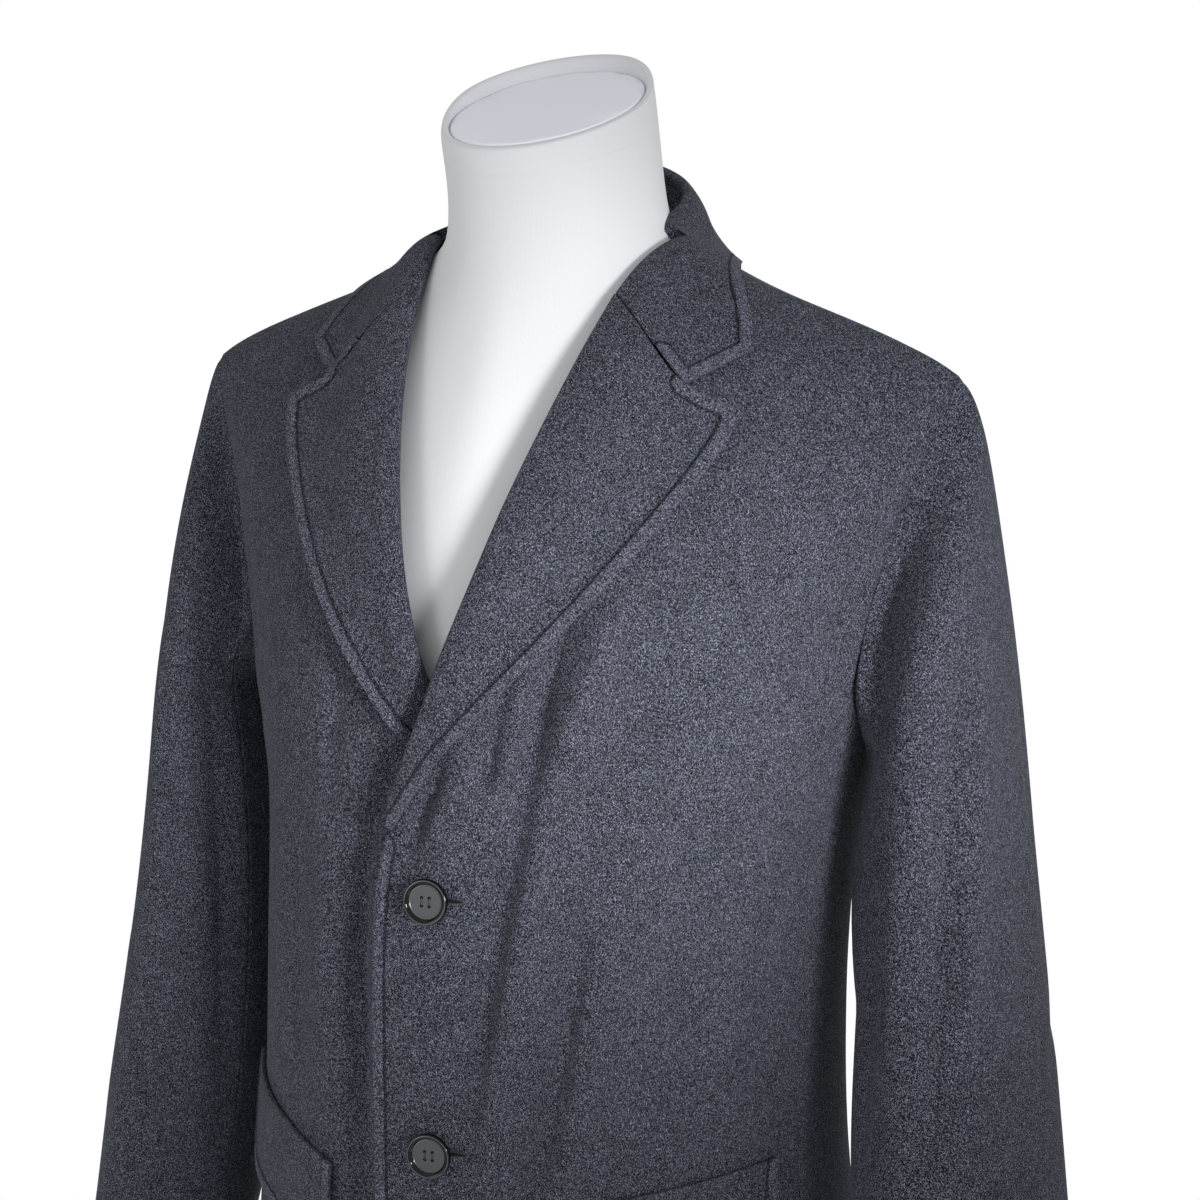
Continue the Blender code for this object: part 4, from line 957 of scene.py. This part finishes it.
for number, node in enumerate(BUTTON_NODES, 1):
    button_place = button_frame(node).translation
    ahead = button_place + Vector((HOLE_IN, -60 * MM, 0.5 * MM))
    hit, facing, _, _ = front_skin.ray_cast(ahead, (0, 1, 0))
    across = Vector((0, 0, 1)).cross(facing).normalized()
    turn = Matrix((across, facing.cross(across), facing)).transposed().to_4x4()
    for part, finish, length, width, lift in (
        ("edge", dark_thread, HOLE_LENGTH, HOLE_WIDTH, 0.25),
        ("slit", slit_painted_shade, HOLE_LENGTH * 0.93, HOLE_WIDTH * 0.55, 0.75),
    ):
        shape = bmesh.new()
        bmesh.ops.create_uvsphere(shape, u_segments=40, v_segments=9, radius=1.0)
        for vert in shape.verts:
            slim = (1.0 - abs(vert.co.x) ** 2.2) ** 0.5 if abs(vert.co.x) < 1 else 0.0
            level = math.hypot(vert.co.y, vert.co.z)
            if level > 1e-6:
                vert.co.y, vert.co.z = vert.co.y / level * slim, vert.co.z / level * slim
        bmesh.ops.scale(shape, vec=(length / 2, width / 2, 0.45 * MM), verts=shape.verts)
        bmesh.ops.translate(shape, vec=(0, 0, lift * MM), verts=shape.verts)
        bmesh.ops.transform(shape, matrix=Matrix.Translation(hit) @ turn, verts=shape.verts)
        name = f"buttonhole_{number}_{part}"
        show(name, mesh_of(shape, name), finish)

# Buttons. Polished black horn-look plastic, turned with a raised rim, fine beads and a sunk satin middle.
# Each has four holes and is sewn on with dark thread on a short shank.
BUTTON_TURNED = (
    # radius and height in mm, from the middle of the face round the rim to the back
    (0.0, 2.3),
    (4.5, 2.25),
    (8.5, 2.25),
    (8.8, 2.5),
    (9.1, 2.4),
    (9.5, 2.75),
    (9.9, 3.3),
    (10.25, 3.7),
    (10.6, 3.88),
    (11.1, 3.88),
    (11.5, 3.78),
    (11.9, 3.5),
    (12.2, 2.9),
    (12.3, 2.3),
    (12.2, 1.5),
    (11.7, 0.8),
    (10.6, 0.25),
    (8.8, 0.0),
    (0.0, 0.0),
)
# In mm: the radius of the satin middle, the outside of the step round it, and the bead on the rim.
SATIN_RADIUS, STEP_RADIUS, BEAD_RADII = 8.5, 8.95, (11.1, 11.5)
THREAD_HOLES = 2.1 * MM
HOLE_RADIUS = 0.95 * MM
SHANK_LENGTH = 3 * MM

# Polished plastic: near black, with sharp reflections.
polished_black = finish_of("polished_black_plastic", "040406", 0.08, {"IOR": 1.42})
# The same plastic rubbed to a satin: dark grey with a broad dull shine.
satin_black = finish_of("satin_rubbed_plastic", "404346", 0.5, {"IOR": 1.5})
# The step round the middle and the bead on the rim: fine lighter lines of painted colour; on the bead this is
# a painted highlight, where the rim catches the light.
light_lines_painted_highlight = finish_of("plastic_light_lines_painted_highlight", "4C4E52", 0.25)

for number, node in enumerate(BUTTON_NODES, 1):
    shape = bmesh.new()
    line = [shape.verts.new((radius * MM, 0.0, height * MM)) for radius, height in BUTTON_TURNED]
    rims = [shape.edges.new(pair) for pair in zip(line, line[1:])]
    bmesh.ops.spin(
        shape,
        geom=line + rims,
        cent=(0, 0, 0),
        axis=(0, 0, 1),
        angle=2 * math.pi,
        steps=64,
        use_merge=True,
        use_duplicate=False,
    )
    bmesh.ops.remove_doubles(shape, verts=shape.verts, dist=0.005 * MM)
    mesh = mesh_of(shape, f"turned_button_{number}")
    for finish in (polished_black, satin_black, light_lines_painted_highlight):
        mesh.materials.append(finish)
    for face in mesh.polygons:
        radius = math.hypot(face.center.x, face.center.y) / MM
        top = face.center.z > 1.5 * MM
        # Faces of the step and of the rim's bead take the lighter plastic, which on the bead is a painted
        # highlight.
        bead = SATIN_RADIUS < radius < STEP_RADIUS or BEAD_RADII[0] < radius < BEAD_RADII[1]
        if top and radius < SATIN_RADIUS:
            face.material_index = 1
        elif top and bead:
            face.material_index = 2
    drill = bmesh.new()
    for a in (-1, 1):
        for b in (-1, 1):
            hole = bmesh.ops.create_cone(
                drill, cap_ends=True, segments=14, radius1=HOLE_RADIUS, radius2=HOLE_RADIUS, depth=12 * MM
            )
            bmesh.ops.translate(drill, verts=hole["verts"], vec=(a * THREAD_HOLES, b * THREAD_HOLES, 0))
    drill_piece = bpy.data.objects.new("drill", mesh_of(drill, "drill"))
    blank = bpy.data.objects.new("blank", mesh)
    for thing in (drill_piece, blank):
        bpy.context.scene.collection.objects.link(thing)
    cut = blank.modifiers.new("holes", "BOOLEAN")
    cut.operation, cut.solver, cut.object = "DIFFERENCE", "EXACT", drill_piece
    cut_mesh = bpy.data.meshes.new_from_object(
        blank.evaluated_get(bpy.context.evaluated_depsgraph_get())
    )
    for thing in (drill_piece, blank):
        bpy.data.objects.remove(thing)
    cut_mesh.transform(button_frame(node))
    cut_mesh.set_sharp_from_angle(angle=math.radians(35))
    show(f"turned_button_{number}", cut_mesh, polished_black, [node])
    threads = bmesh.new()
    for a in (-1, 1):
        for lift in (2.2, 0.1):
            bmesh.ops.create_uvsphere(
                threads,
                u_segments=8,
                v_segments=6,
                radius=1.0,
                matrix=Matrix.Translation((a * THREAD_HOLES, 0, lift * MM))
                @ Matrix.Diagonal((0.5 * MM, 2.6 * MM, 0.55 * MM, 1.0)),
            )
    shank = bmesh.ops.create_cone(
        threads, cap_ends=True, segments=12, radius1=1.9 * MM, radius2=2.3 * MM, depth=SHANK_LENGTH
    )
    bmesh.ops.translate(threads, verts=shank["verts"], vec=(0, 0, -SHANK_LENGTH / 2))
    bmesh.ops.transform(threads, matrix=button_frame(node), verts=threads.verts)
    show(f"button_thread_{number}", mesh_of(threads, f"button_thread_{number}"), dark_thread)

# Studio. A white floor lit from below as a light table, in a white surround.
# A narrow soft light stands at the wearer's left, a wide one at the right and one behind.
# The camera looks slightly down at the chest from the wearer's left.
TARGET = Vector((0.0203, 0.0108, 1.27))
AZIMUTH, ELEVATION, DISTANCE = math.radians(28), math.radians(10), 1.25


def direction(azimuth, elevation):
    """The way out from the object at an angle round it and above the floor."""
    level = math.cos(elevation)
    return Vector((math.sin(azimuth) * level, -math.cos(azimuth) * level, math.sin(elevation)))


def aimed(thing, spot, at):
    """Puts a light or a camera at one spot, turned to another."""
    back = (spot - at).normalized()
    across = Vector((0, 0, 1)).cross(back).normalized()
    thing.matrix_world = (
        Matrix.Translation(spot) @ Matrix((across, back.cross(across), back)).transposed().to_4x4()
    )
    bpy.context.scene.collection.objects.link(thing)


def softbox(name, azimuth, elevation, distance, size, spread, power, at):
    """A square soft light with a honeycomb that narrows its beam, aimed at one spot."""
    lamp = bpy.data.lights.new(name, "AREA")
    lamp.shape, lamp.size, lamp.spread, lamp.energy = "SQUARE", size, math.radians(spread), power
    made = bpy.data.objects.new(name, lamp)
    aimed(made, at + direction(math.radians(azimuth), math.radians(elevation)) * distance, at)


shape = bmesh.new()
bmesh.ops.create_circle(shape, cap_ends=True, segments=128, radius=1.5)
floor = bpy.data.objects.new("floor", mesh_of(shape, "floor"))
# White acrylic floor lit from below.
floor.data.materials.append(
    finish_of(
        "lit_white_floor", "F4F4F4", 0.9, {"Emission Color": (1, 1, 1, 1), "Emission Strength": 0.5}
    )
)
bpy.context.scene.collection.objects.link(floor)
LIGHTS = (
    # name, angle round and above in degrees, distance, size, beam in degrees, power in watts, where it points
    ("key_softbox", 59, 4, 1.1, 0.35, 27, 0.76, (0.12, -0.10, 1.265)),
    ("back_softbox", 205, 3, 1.6, 0.8, 80, 3.0, (0.0, 0.1, 1.05)),
    ("fill_softbox", -22, 5, 1.5, 0.7, 60, 0.58, (-0.08, -0.12, 1.12)),
)
for *settings, at in LIGHTS:
    softbox(*settings, Vector(at))

world = bpy.data.worlds.new("white_surround")
world.use_nodes = True
bpy.context.scene.world = world
ray = world.node_tree.nodes.new("ShaderNodeLightPath")
level = world.node_tree.nodes.new("ShaderNodeMapRange")
# The surround is plain white to the eye and dimmer as a light.
level.inputs["To Min"].default_value = 0.58
level.inputs["To Max"].default_value = 1.0
world.node_tree.links.new(ray.outputs["Is Camera Ray"], level.inputs["Value"])
backdrop = world.node_tree.nodes["Background"]
backdrop.inputs["Color"].default_value = (1.0, 1.0, 1.0, 1.0)
world.node_tree.links.new(level.outputs["Result"], backdrop.inputs["Strength"])
bpy.context.scene.view_settings.view_transform = "Standard"

lens = bpy.data.cameras.new("camera")
lens.lens, lens.sensor_width = 66.0, 36.0
camera = bpy.data.objects.new("camera", lens)
aimed(camera, TARGET + direction(AZIMUTH, ELEVATION) * DISTANCE, TARGET)
bpy.context.scene.camera = camera
